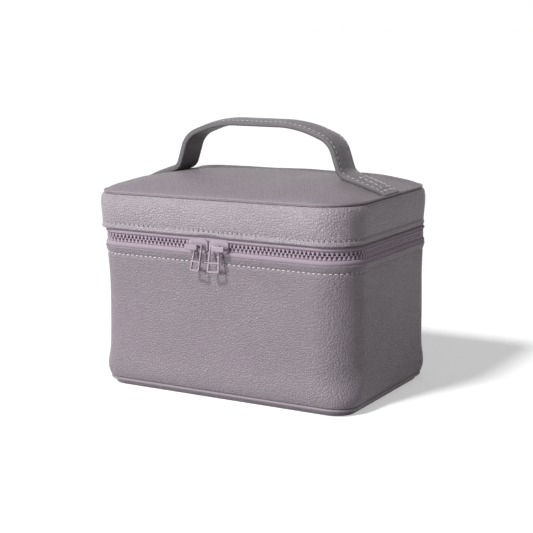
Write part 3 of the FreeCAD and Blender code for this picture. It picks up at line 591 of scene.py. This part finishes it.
# painted highlight: the lid band's leather is the body's leather made lighter and more neutral, standing in for the
# broad sheen the lamps give the band
lidLookPaintedSheen = dict(leatherLook, colour=(0.425, 0.372, 0.414), roughness=0.36, gloss=0.4, grainDepth=0.0007)
topLook = dict(leatherLook, colour=(0.28, 0.236, 0.27), grainDepth=0.0006)
bodyLeather = leatherFinish("bodyLeather", leatherLook, bodyHoles)
lidLeatherPaintedSheen = leatherFinish("lidLeatherPaintedSheen", lidLookPaintedSheen, lidHoles)
plainLeather = leatherFinish("plainLeather", leatherLook)
topLeather = leatherFinish("topLeather", topLook)
pipingLeather = leatherFinish("pipingLeather", dict(leatherLook, grainPerMetre=1000.0, grainDepth=0.00008))
thread = threadFinish("thread", threadLook)
lidThread = threadFinish("lidThread", dict(threadLook, colour=(0.5, 0.44, 0.48)))
lining = clothFinish("lining", (0.19, 0.165, 0.185), 0.0009)
board = plainFinish("greyBoard", (0.42, 0.40, 0.37), 2400.0, 0.00004, 0.85)
print("finishes made")


# body

bodyLook = {
    "footRound": 6.5, "footInset": 1.9, "swell": 0.6, "cornerSwell": 0.7, "swellHeight": 9.0, "swellReach": 7.5,
    "waist": 1.2, "waistShares": (0.0, 0.55, 0.95, 1.0, 0.75), "softness": 0.5, "lean": 1.5,
    "grooveDepth": 0.32, "grooveWidth": 0.75, "wall": 2.6, "rebateStart": lip - 6.5, "rebateInset": 1.35,
    "tight": (18.0, 29.5, 18.0, 18.0), "spread": 48.0, "cuts": (8.3, 12.4, 7.6, 7.6),
    "wallHeights": (6, 12, 18, 24, 36, 48, 60, 70, 76, 82), "board": (2.66, 4.58), "lining": (4.66, 5.35),
    "liningLip": (2.2, 2.16, 2.85, 2.9), "liningThickness": 0.75,
}


def bodyInset(station, z):
    # how far the leather lies inside the outline: tucked foot, swell over it, waist, stitched groove, leaning rim
    look, row = bodyLook, seams["bodyRow"]
    corner = 2 * abs(station[2] * station[3])
    inset = look["waist"] * (1 - 0.3 * corner) * through(look["waistShares"], (z - foot) / (lip - foot))
    inset -= (look["swell"] + look["cornerSwell"] * corner) * bell(z - foot - look["swellHeight"], look["swellReach"])
    if z < foot + look["footRound"]:
        t = (foot + look["footRound"] - z) / look["footRound"]
        inset += look["footInset"] * (1 - math.sqrt(max(0.0, 1 - t * t)))
    if z > row:
        inset -= look["lean"] * ((z - row) / (lip - row)) ** 0.8
    inset += look["grooveDepth"] * bell(z - row, look["grooveWidth"]) - 0.12 * bell(z - row + 2.8, 1.8)
    calm = clamp((z - foot - 5) / 20) * clamp((lip - 7 - z) / 20)
    return inset + look["softness"] * calm * noise.noise(Vector((station[0] * 0.024, station[1] * 0.024, z * 0.03)))


def makeBody():
    look, base, mouth, row = bodyLook, roundOutline(**case), roundOutline(**caseMouth), seams["bodyRow"]
    soft = softOutline(case, look)

    def place(i, z, inset=None):
        # stiff at the foot and mouth, soft between them
        wall = between(base[i], soft[i], ease((z - foot - 1) / 20))
        station = between(wall, mouth[i], ease((z - row + 20) / 22))
        return inward(station, bodyInset(station, z) if inset is None else inset, z)

    bend = look["footRound"]
    heights = [foot + bend * (1 - math.cos(math.pi / 2 * i / 8)) for i in range(9)]
    start, end = foot + bend + 3, row - 4
    heights += [start + (end - start) * i / 22 for i in range(23)]
    heights += [row + h for h in (-2.6, -1.4, -0.8, -0.4, 0, 0.4, 0.8, 1.4, 2.2, 3.0, 3.7)]
    wallHeights = [foot + h for h in look["wallHeights"]]
    step, rebate = look["rebateStart"], look["rebateInset"]
    loops = []
    for i, s in enumerate(mouth):
        rim = bodyInset(s, lip - 0.9)
        loop = [place(i, z) for z in heights]
        loop += [inward(s, rim + c, lip - drop) for c, drop in ((0.0, 0.75), (0.08, 0.4), (0.3, 0.1), (0.7, 0.0))]
        loop += [inward(s, c, lip - drop) for c, drop in ((0.95, 0.0), (1.25, 0.15), (rebate, 0.5), (rebate, 3.0))]
        loop += [inward(s, rebate, step)] + [place(i, z, look["wall"]) for z in [step] + wallHeights[::-1]]
        loops.append(loop + [inward(base[i], look["wall"], foot)])
    addLoft("caseShell", loops, lengths(mouth), "case", bodyLeather, "body_shell")
    (outer, inner), (low, high) = look["board"], levels("body_board")
    sheet = [low] + wallHeights + [high]
    loops = [[place(i, z, outer) for z in sheet] + [place(i, z, inner) for z in sheet[::-1]] for i in range(len(base))]
    addLoft("bodyBoard", loops, lengths(base), "case", board, "body_board")
    makeBodyLining(place, wallHeights, base, mouth)
    line = [place(i, row) + Vector((s[2], s[3], 0)) * 0.05 * mm for i, s in enumerate(mouth)]
    makeRow("bodyStitches", line, mouth, True, {"count": bodyStitches, "turn": 4, "seed": 11}, stitch, "case",
            thread)


def makeBodyLining(place, wallHeights, base, mouth):
    # a tray of cloth: floor, walls, a step over the board and a lip behind the zip
    look, thick, step = bodyLook, bodyLook["liningThickness"], bodyLook["rebateStart"] + 0.1
    low, high = levels("body_lining")
    outer, inner = look["lining"]
    upperLip = list(zip(look["liningLip"], (step, high, high, step + 0.8)))
    walls = [z for z in wallHeights if z > low + 2]
    loops = []
    for i, (s, b) in enumerate(zip(mouth, base)):
        loop = [place(i, low, outer + 0.35)] + [place(i, z, outer) for z in walls + [step]]
        loop += [inward(s, c, z) for c, z in upperLip]
        loop += [place(i, z, inner) for z in [step + 0.7] + walls[::-1] + [low + 1.9]]
        loop += [inward(b, 5.9, low + 1.0), inward(b, 7.2, low + thick)]
        loop += [towardsMiddle(b, c, low + thick) for c in (0.85, 0.4, 0.001)]
        loops.append(loop + [towardsMiddle(b, c, low) for c in (0.001, 0.5)])
    addLoft("bodyLining", loops, lengths(base), "case", lining, "body_lining")


# lid band

bandLook = {
    "cornerShares": (0.0, 0.05, -0.45, -0.8, 0.1), "sideShares": (1.2, 1.3, 0.6, 0.35, 0.45, 0.95, 1.9),
    "hemRound": 1.3, "hemFlare": 0.4, "grooveDepth": 0.32, "grooveWidth": 0.75, "softness": 0.35, "topRound": 1.8,
    "humpMiddle": -6.0, "humpReach": 13.0, "humpRise": 1.0, "tilt": 1.5, "wallInset": 1.35,
    "tight": (18.5, 28.2, 18.5, 18.5), "spread": 40.0, "cuts": (8.0, 11.9, 8.0, 8.0),
    "pipingRadius": 0.95, "pipingInset": 1.1, "cornerPiping": 1.1, "pipingLift": 1.2,
}
lidLayers = {
    "board": (1.42, 3.38), "lining": (3.48, 4.22, 4.2), "liningLip": (2.18, 2.9), "liningThickness": 0.75,
    "stepHeight": 6.5,
}


def lidLift(x, z):
    # the lid's top stands a little higher towards the right side
    return bandLook["tilt"] * (x + 100) / 200 * clamp((z - hem) / (seam - hem))


def cornerShare(station):
    return min(1.0, 2 * abs(station[2] * station[3]))


def bandInset(station, z):
    look, share = bandLook, (z - hem) / (seam - hem)
    corner = cornerShare(station) if abs(station[2]) < 0.9 or station[0] < 0 else 0.6
    inset = corner * through(look["cornerShares"], share) + (1 - corner) * through(look["sideShares"], share)
    inset += look["grooveDepth"] * bell(z - seams["lidRow"], look["grooveWidth"])
    inset -= look["hemFlare"] * bell(z - hem - 1.0, 1.5)
    calm = clamp((z - hem - 5) / 6) * clamp((seam - 2 - z) / 6)
    return inset + look["softness"] * calm * noise.noise(Vector((station[0] * 0.03, station[1] * 0.03 + 9, z * 0.05)))


def makeBand():
    look, outline, inner = bandLook, roundOutline(**lidMouth), roundOutline(**caseMouth)
    soft = softOutline(lid, look)
    heights = [hem + h for h in (1.7, 2.2, 2.8, 3.2, 3.55, 3.9, 4.25, 4.6, 5.2, 6)]
    heights += [hem + 7.5 + 1.9 * i for i in range(8)] + [seam - 2.2]
    loops = []
    for s, n in zip(soft, inner):
        # the hem is pushed up a little over the sliders
        rise = look["humpRise"] * bell(s[0] - look["humpMiddle"], look["humpReach"]) ** 1.5 if s[3] < -0.9 else 0.0
        bend, edge, loop = look["hemRound"], bandInset(s, hem + look["hemRound"]), []
        for i in range(7):
            a = math.pi / 2 * i / 6
            loop.append(inward(s, edge + bend * (1 - math.sin(a)), hem + rise + bend * (1 - math.cos(a))))
        for z in heights:
            lift = rise * bell(z - hem, 3.5) + lidLift(s[0], z)
            loop.append(inward(s, bandInset(s, z) - rise * 0.3 * bell(z - hem, 3), z + lift))
        bend, edge, top = look["topRound"], bandInset(s, seam), seam + lidLift(s[0], seam)
        across = bend * (1 + 0.9 * cornerShare(s))
        for i in range(6):
            a = math.pi / 2 * i / 5
            loop.append(inward(s, edge + across * (1 - math.cos(a)), top - bend * (1 - math.sin(a))))
        loops.append(loop + [inward(n, look["wallInset"], z) for z in (seam, (hem + seam) / 2, hem)])
    addLoft("lidBand", loops, lengths(outline), "lid", lidLeatherPaintedSheen, "lid_band")
    row = seams["lidRow"]
    line = [inward(s, bandInset(s, row) - 0.05, row + lidLift(s[0], row)) for s in soft]
    makeRow("lidStitches", line, soft, True, {"count": lidStitches, "turn": -16, "seed": 5}, stitch, "lid",
            lidThread)
    makePiping(soft, lengths(outline))
    makeLidLayers(inner)


def makePiping(soft, along):
    look, cord = bandLook, []
    radius = look["pipingRadius"]
    for s in soft:
        lift = seam + look["pipingLift"] + lidLift(s[0], seam)
        inset = bandInset(s, seam) + look["pipingInset"] + look["cornerPiping"] * cornerShare(s)
        cord.append([inward(s, inset - radius * math.cos(a), lift + radius * math.sin(a))
                     for a in (2 * math.pi * k / 16 for k in range(16))])
    addLoft("lidPiping", cord, along, "lid", pipingLeather, "lid_top_bead")


def makeLidLayers(inner):
    # the lid's board frame, its top board and its lining, all inside the band
    look, along = lidLayers, lengths(inner)
    outer, back = look["board"]
    low, high = levels("lid_frame")
    loops = [[inward(n, c, z) for c, z in ((outer, low), (outer, high), (back, high), (back, low))] for n in inner]
    addLoft("lidFrame", loops, along, "lid", board, "lid_frame")
    low, high = levels("lid_board")
    loops = [[towardsMiddle(n, c, low) for c in (0.001, 0.5)] + [inward(n, outer, low), inward(n, outer, high)]
             + [towardsMiddle(n, c, high) for c in (0.5, 0.001)] for n in inner]
    addLoft("lidBoard", loops, along, "lid", board, "lid_board")
    (low, high), step = levels("lid_lining"), hem + look["stepHeight"]
    shoulder, ceiling = step + look["liningThickness"], high - look["liningThickness"]
    (outer, back, backFoot), (lipOuter, lipBack) = look["lining"], look["liningLip"]
    outside = ((lipBack, low), (lipOuter, low), (lipOuter, shoulder), (outer, shoulder), (outer, high))
    inside = ((back, ceiling), (backFoot, step), (lipBack, step))
    loops = [[inward(n, c, z) for c, z in outside] + [towardsMiddle(n, c, high) for c in (0.5, 0.001)]
             + [towardsMiddle(n, c, ceiling) for c in (0.001, 0.5, 0.88)] + [inward(n, c, z) for c, z in inside]
             for n in inner]
    addLoft("lidLining", loops, along, "lid", lining, "lid_lining")


# padded lid top

crownLook = {
    "inset": 1.9, "foot": seam + 0.1, "rise": 12.15, "edgeRoll": 2.3, "rollReach": 1.5, "shareStep": 7.0,
    "fullShares": (0.0, 0.13, 0.25, 0.36, 0.46, 0.56, 0.65, 0.72, 0.785, 0.84, 0.89, 0.93, 0.96, 0.985, 1.0),
    "shares": (0.1, 0.3, 0.49, 0.685, 0.83, 0.92, 0.972, 1.0), "softness": 0.5, "fill": 0.85,
}


def crownHeight(inset, full):
    # full is 1 where the pad is stuffed right up to its seam, 0 where the strap holds it down
    look = crownLook
    share = inset / (look["shareStep"] * (len(look["shares"]) - 1))
    roll = look["edgeRoll"] * (1 - math.exp(-inset / look["rollReach"])) * max(0.0, 1 - inset / 60)
    held = look["rise"] * through(look["shares"], share)
    stuffed = look["rise"] * through(look["fullShares"], share) + roll
    return look["foot"] + held * (1 - full) + stuffed * full


def makeCrown():
    look, middleX, middleY = crownLook, lid["centreX"], lid["centreY"]
    rings = [0, 0.3, 0.7, 1.2, 1.8, 2.4, 3.1, 4, 5, 7] + [7 + 2.4 * i for i in range(1, 18)] + [50, 54, 58, 62]
    outer = softOutline(lid, bandLook)
    edge = [(inward(s, look["inset"], 0) / mm, min(1.0, 3 * abs(s[3]))) for s in outer]
    loops = []
    for inset in rings:
        # the outline shrinks towards the ridge, straightening as it goes
        shrink, loop = max(1 - inset / (lid["halfY"] + 1), 0.01), []
        for start, full in edge:
            x = middleX + math.copysign(max(0.0, abs(start.x - middleX) - inset), start.x - middleX)
            y = middleY + (start.y - middleY) * shrink
            z = crownHeight(inset, full) + lidLift(x, seam) * (1 - 0.4 * min(1, inset / 60))
            z += look["softness"] * min(1, inset / 12) * noise.noise(Vector((x * 0.03, y * 0.03, 4)))
            loop.append(Vector((x, y, z)) * mm)
        loops.append(loop)
    base = [[p.lerp(Vector((middleX * mm, middleY * mm, p.z)), t) for p in loops[0]] for t in (0.25, 0.04)]
    mesh = loft("lidTop", base + loops, closed=False, sharpAngle=70)
    piece = addPiece("lidTop", mesh, "lid", topLeather, ["lid_top_panel"])


# zip

zipLook = {
    "swell": 1.75, "tapeInset": 1.42, "tapeBack": 2.08, "flatEdge": 1.7, "tuck": 0.6, "gap": 62.0,
    "pitch": 3.2, "inset": 1.75, "depth": 2.5, "teethGap": 65.7, "teethFoot": 2.7, "toothBevel": 0.2,
    "toothHalf": ((0.0, 1.3), (0.75, 1.28), (1.15, 0.84), (1.8, 0.7), (2.3, 0.8), (2.7, 0.74), (2.95, 0.5)),
    "plastic": dict(lacquerLook, colour=(0.38, 0.30, 0.365), roughness=0.38),
}
zipTape = tapeFinish("zipTape", tapeLook)
zipPlastic = lacquerFinish("zipPlastic", zipLook["plastic"], 0.1)


def makeTape(name, body, node, away, mouth, past):
    # a woven tape that swells out between the teeth and the leather it is sewn behind; away leads from the teeth,
    # and the swell ends past the leather's mouth
    look, outline = zipLook, roundOutline(**caseMouth, gap=zipLook["gap"])
    low, high = levels(node)
    edge = low if away > 0 else high
    start, end = look["flatEdge"], (mouth - edge) * away + past
    heights = [low + (high - low) * i / 26 for i in range(27)]
    loops = []
    for s in outline:
        free = 1 - clamp((78 - abs(s[0])) / 10) if s[3] > 0.9 else 1.0  # flat beside the hinge
        front, back = [], []
        for z in heights:
            t = (z - edge) * away
            swell = math.sin(math.pi * (t - start) / (end - start)) ** 0.6 if start < t < end else 0.0
            bulge = (look["swell"] * swell - look["tuck"] * clamp((2.0 - t) / 0.6)) * free
            front.append(inward(s, look["tapeInset"] - bulge, z))
            back.append(inward(s, look["tapeBack"] - bulge * 0.9, z))
        loops.append(front + back[::-1])
    addPiece(name, loft(name, loops, lengths(outline, False), False), body, zipTape, [node])


def makeTeeth(name, body, side, turn, shift, node):
    look = zipLook
    outline = roundOutline(**caseMouth, gap=look["teethGap"] + shift * look["pitch"] / 2)
    line = [inward(s, look["inset"], chain + side * look["teethFoot"]) for s in outline]
    count = round(lengths(outline, False)[-1] / mm / look["pitch"]) + 1
    makeRow(name, line, outline, False, {"count": count, "turn": turn, "unevenness": 0.0}, tooth, body, zipPlastic,
            [node])


# handle strap

strapLook = {
    "corners": ((-98.9, 139.7), (-64.7, 152.15), (-57.3, 175.3), (-31.4, 185.3),
                (31.4, 185.3), (57.3, 175.3), (64.7, 152.65), (98.9, 141.2)),
    "bends": (9.0, 16.5, 76.0, 76.0, 16.5, 9.0), "width": 24.0, "top": 2.6, "under": 1.2, "crown": 1.3, "edge": 0.9,
    "seamInset": 2.1, "grooveDepth": 0.25, "step": 1.5, "centreY": -1.4, "stitchPitch": 3.8,
    "innerRow": 4.6, "boxStart": 3.5, "boxEnd": 23.0, "thinning": 0.45, "thinReach": 5.0,
}


def bentLine(corners, bends, step):
    # places and headings along straight runs joined by arcs, in the plane of the strap
    places = []
    corners = [Vector(c) for c in corners]

    def run(a, b):
        count = max(2, math.ceil((b - a).length / step))
        heading = (b - a).normalized()
        places.extend((a.lerp(b, i / count), heading) for i in range(count))

    start = corners[0]
    for before, here, after, bend in zip(corners, corners[1:], corners[2:], bends):
        come, go = (here - before).normalized(), (after - here).normalized()
        turn = come.angle_signed(go)
        reach = bend * math.tan(abs(turn) / 2)
        first, last = here - come * reach, here + go * reach
        run(start, first)
        side = Vector((come.y, -come.x)) * (1 if turn > 0 else -1)
        centre = first + side * bend
        count = max(4, math.ceil(abs(turn) * bend / step))
        for i in range(count):
            a = -turn * i / count
            spoke = Matrix.Rotation(a, 2) @ (first - centre)
            places.append((centre + spoke, Matrix.Rotation(a, 2) @ come))
        start = last
    run(start, corners[-1])
    places.append((corners[-1], (corners[-1] - start).normalized()))
    return places


def strapPoint(place, heading, across, off):
    normal = Vector((-heading.y, heading.x))
    spot = place + normal * off
    return Vector((spot.x, strapLook["centreY"] + across, spot.y)) * mm


def strapHeight(across, distance, total):
    # height of the top layer over the seam line between the layers; it thins and flattens towards both ends
    look, half, fromEnd = strapLook, strapLook["width"] / 2, min(distance, total - distance)
    middle = max(0.0, 1 - (across / (half - look["seamInset"] - 0.6)) ** 2)
    groove = look["grooveDepth"] * bell(abs(across) - half + look["seamInset"], 0.55)
    height = look["top"] - 0.15 + look["crown"] * middle ** 0.8 - groove
    flattened = look["crown"] * (1 - min(1.0, fromEnd / 14)) * max(0.0, 1 - (across / (half - 2.7)) ** 2)
    return (height - flattened) * (1 - look["thinning"] * bell(fromEnd, look["thinReach"]))


def makeStrap():
    look, half = strapLook, strapLook["width"] / 2
    places = bentLine(look["corners"], look["bends"], look["step"])
    along = [0.0]
    for (a, _), (b, _) in zip(places, places[1:]):
        along.append(along[-1] + (b - a).length * mm)
    total = along[-1] / mm
    edge = look["edge"]
    spread = [-half + edge + (2 * half - 2 * edge) * i / 26 for i in range(27)]
    top, under = [], []
    for (place, heading), run in zip(places, along):
        upper = [(t, strapHeight(t, run / mm, total)) for t in spread]
        rim = upper[0][1]
        loop = [(-half, 0.0), (-half - 0.08, rim * 0.35), (-half + 0.02, rim - 0.7), (-half + 0.3, rim - 0.2)]
        loop += upper + [(-t, h) for t, h in reversed(loop)]
        top.append([strapPoint(place, heading, t, h) for t, h in loop])
        low = [(-half, -0.02), (-half - 0.05, -look["under"] * 0.55), (-half + 0.35, -look["under"])]
        low += [(t, -look["under"]) for t in (-8, -4, 0, 4, 8)] + [(-t, h) for t, h in reversed(low)]
        under.append([strapPoint(place, heading, t, h) for t, h in low])
    # the cut edges are painted
    width, n = len(top[0]), len(under[0])
    kinds = [1 if k < 3 or width - 4 <= k < width - 1 else 0 for k in range(width)]
    mesh = loft("handleStrap", top, along, False, kinds, 50)
    addPiece("handleStrap", mesh, "lid", [strapLeather, edgePaint], ["handle_top_strap"])
    kinds = [1 if k < 2 or k > n - 4 else 0 for k in range(n)]
    mesh = loft("handleUnderStrap", under, along, False, kinds, 50)
    addPiece("handleUnderStrap", mesh, "lid", [strapUnderPaintedShade, edgePaint], ["handle_under_strap"])
    stitchStrap(places, along, total)


def stitchStrap(places, along, total):
    # a row along each side, two short rows between them at each foot, and bars across
    look, half = strapLook, strapLook["width"] / 2
    run = [r / mm for r in along]
    reach, inner = half - look["seamInset"], look["innerRow"]

    def seamPoint(distance, across):
        k = max(0, next(i for i, r in enumerate(run) if r >= distance) - 1)
        place = places[k][0].lerp(places[k + 1][0], (distance - run[k]) / (run[k + 1] - run[k]))
        heading = places[k][1]
        height = strapHeight(across, distance, total) + 0.02
        return strapPoint(place, heading, across, height), Vector((-heading.y, 0, heading.x))

    start, end = look["boxStart"], look["boxEnd"]
    rows = [("near", (start, -reach), (total - start, -reach)), ("far", (start, reach), (total - start, reach))]
    boxes = (((start, -reach), (start, reach)), ((end, -inner), (end, inner)),
             ((start, -inner), (end, -inner)), ((start, inner), (end, inner)))
    for name, sign in (("left", 1), ("right", -1)):
        for part, ends in enumerate(boxes):
            rows.append((name + "Box" + str(part), *((d if sign > 0 else total - d, t) for d, t in ends)))
    for name, (d0, t0), (d1, t1) in rows:
        steps = max(8, round(abs(d1 - d0) / 1.5))
        line = [seamPoint(d0 + (d1 - d0) * i / steps, t0 + (t1 - t0) * i / steps) for i in range(steps + 1)]
        count = max(2, round(math.hypot(d1 - d0, t1 - t0) / look["stitchPitch"]) + 1)
        makeRow(name + "StrapStitches", [p for p, _ in line], [f for _, f in line], False,
                {"count": count, "turn": 5, "seed": 3}, stitch, "lid", thread)


# the hinge at the back, the lining and what is hidden

hingeLook = {"halfX": 61.9, "strip": (65.6, 64.9), "lining": (64.85, 64.1), "rows": 40, "columns": 24}


def bendSheet(name, depths, finish, node):
    # a strip of cloth across the lid's hinge, from depths[0] at its back to depths[1] at its front
    halfX, rows, columns = hingeLook["halfX"], hingeLook["rows"], hingeLook["columns"]
    low, high = levels(node)
    across = [-halfX + 2 * halfX * i / columns for i in range(columns + 1)]
    rim = [(x, depths[0]) for x in across] + [(x, depths[1]) for x in across[::-1]]
    loops = [[Vector((x, y, low + (high - low) * j / rows)) * mm for x, y in rim] for j in range(rows + 1)]
    piece = addPiece(name, loft(name, loops, closed=False), None, finish, [node])
    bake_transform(piece)


def coverNodes():
    # the solids that stay as they are get their own finishes
    # the sliders, bails and pulls get the darker lacquer with painted shade
    shadedSliderLacquer = lacquerFinish("sliderLacquerPaintedShade", lacquerLook)
    finishes = {
        "bottom_board": board, "bottom_panel": plainLeather, "bottom_bead": pipingLeather,
        "lid_foam": plainFinish("foam", (0.62, 0.6, 0.5), 1300.0, 0.0003, 0.95),
        "handle_core": plainFinish("filler", (0.5, 0.49, 0.47), 1800.0, 0.0001, 0.9),
        "zip_end_stops": zipPlastic,
        **{side + part: shadedSliderLacquer for side in ("left_", "right_") for part in ("slider_body", "slider_bail", "pull")},
    }
    for name, finish in finishes.items():
        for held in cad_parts[name].material_slots:
            held.material = finish
    bendSheet("hingeStrip", hingeLook["strip"], plainLeather, "hinge_strip")
    bendSheet("hingeLining", hingeLook["lining"], lining, "hinge_lining")


# patterns and finishes of the small pieces

stitch = stitchPattern(stitchLook)
tooth = toothPattern(zipLook)
topLayer = dict(leatherLook, colour=(0.2, 0.175, 0.197), grainPerMetre=700.0, grainDepth=0.00025)
# painted shade: the under layer is darker than the top layer, standing in for the shade under the handle's arch
underLayerPaintedShade = dict(leatherLook, colour=(0.11, 0.095, 0.105), grainPerMetre=900.0, grainDepth=0.0001)
strapLeather, strapUnderPaintedShade = leatherFinish("strapLeather", topLayer), leatherFinish("strapUnderPaintedShade", underLayerPaintedShade)
edgePaint = plainFinish("edgePaint", (0.1, 0.092, 0.1), 1700.0, 0.00005, 0.5, 0.08)

makeBody()
print("body made")
makeBand()
makeCrown()
print("lid made")
makeTape("lowerTape", "case", "lower_zip_tape", -1, lip, 0.9)
makeTape("upperTape", "lid", "upper_zip_tape", 1, hem, -0.5)
makeTeeth("lowerTeeth", "case", -1, 180, 0, "lower_zip_teeth")
makeTeeth("upperTeeth", "lid", 1, 0, 1, "upper_zip_teeth")
print("zip made")
makeStrap()
print("handle made")
coverNodes()
for pattern in (stitch, tooth):
    bpy.data.objects.remove(pattern)
print("hidden pieces covered")


def isSeen(tree):
    # 1 for rays that show the background: the camera's own, mirrored ones and those through glass
    ray = tree.make("ShaderNodeLightPath", out="Is Camera Ray")
    return (ray + ray.out("Is Glossy Ray") + ray.out("Is Transmission Ray")).between(0.0, 1.0)


def buildStudio(look):
    addLamp("keyLamp", "SUN", (-0.3, -0.9, 1.0), look["keyTravel"], energy=look["keyStrength"],
            angle=math.radians(look["keyAngle"]))
    front = look["frontLamp"]
    addLamp("frontLamp", "AREA", front["place"], Vector(front["aim"]) - Vector(front["place"]), shape="DISK",
            size=front["size"], energy=front["power"])

    sky = bpy.data.worlds.new("softSky")
    sky.use_nodes = True
    sky.node_tree.nodes.clear()
    tree = Tree(sky.node_tree)
    strength = isSeen(tree) * (1 - look["worldLevel"]) + look["worldLevel"]
    glow = tree.make("ShaderNodeBackground", {}, {"Color": (1, 1, 1, 1), "Strength": strength})
    tree.make("ShaderNodeOutputWorld", {}, {"Surface": glow})
    scene.world = sky

    tree = newFinish("paleFloor")
    seen = isSeen(tree)
    colour = tree.mix(seen, rgba(look["floorBounce"]), rgba(look["floorColour"]))
    matt = tree.make("ShaderNodeBsdfDiffuse", {}, {"Color": colour})
    bright = tree.make("ShaderNodeEmission", {}, {"Color": (1, 1, 1, 1), "Strength": look["floorGlowStrength"]})
    both = tree.make("ShaderNodeMixShader", {}, {0: seen * look["floorGlow"], 1: matt, 2: bright})
    tree.make("ShaderNodeOutputMaterial", {}, {"Surface": both})
    half = look["floorSize"] / 2
    mesh = bpy.data.meshes.new("floor")
    mesh.from_pydata([(-half, -half, 0), (half, -half, 0), (half, half, 0), (-half, half, 0)], [], [(0, 1, 2, 3)])
    mesh.materials.append(tree.finish)
    floor = bpy.data.objects.new("floor", mesh)
    scene.collection.objects.link(floor)


placeCamera(cameraLook)
buildStudio(studio)
scene.view_settings.view_transform = "Standard"
print("scene made")
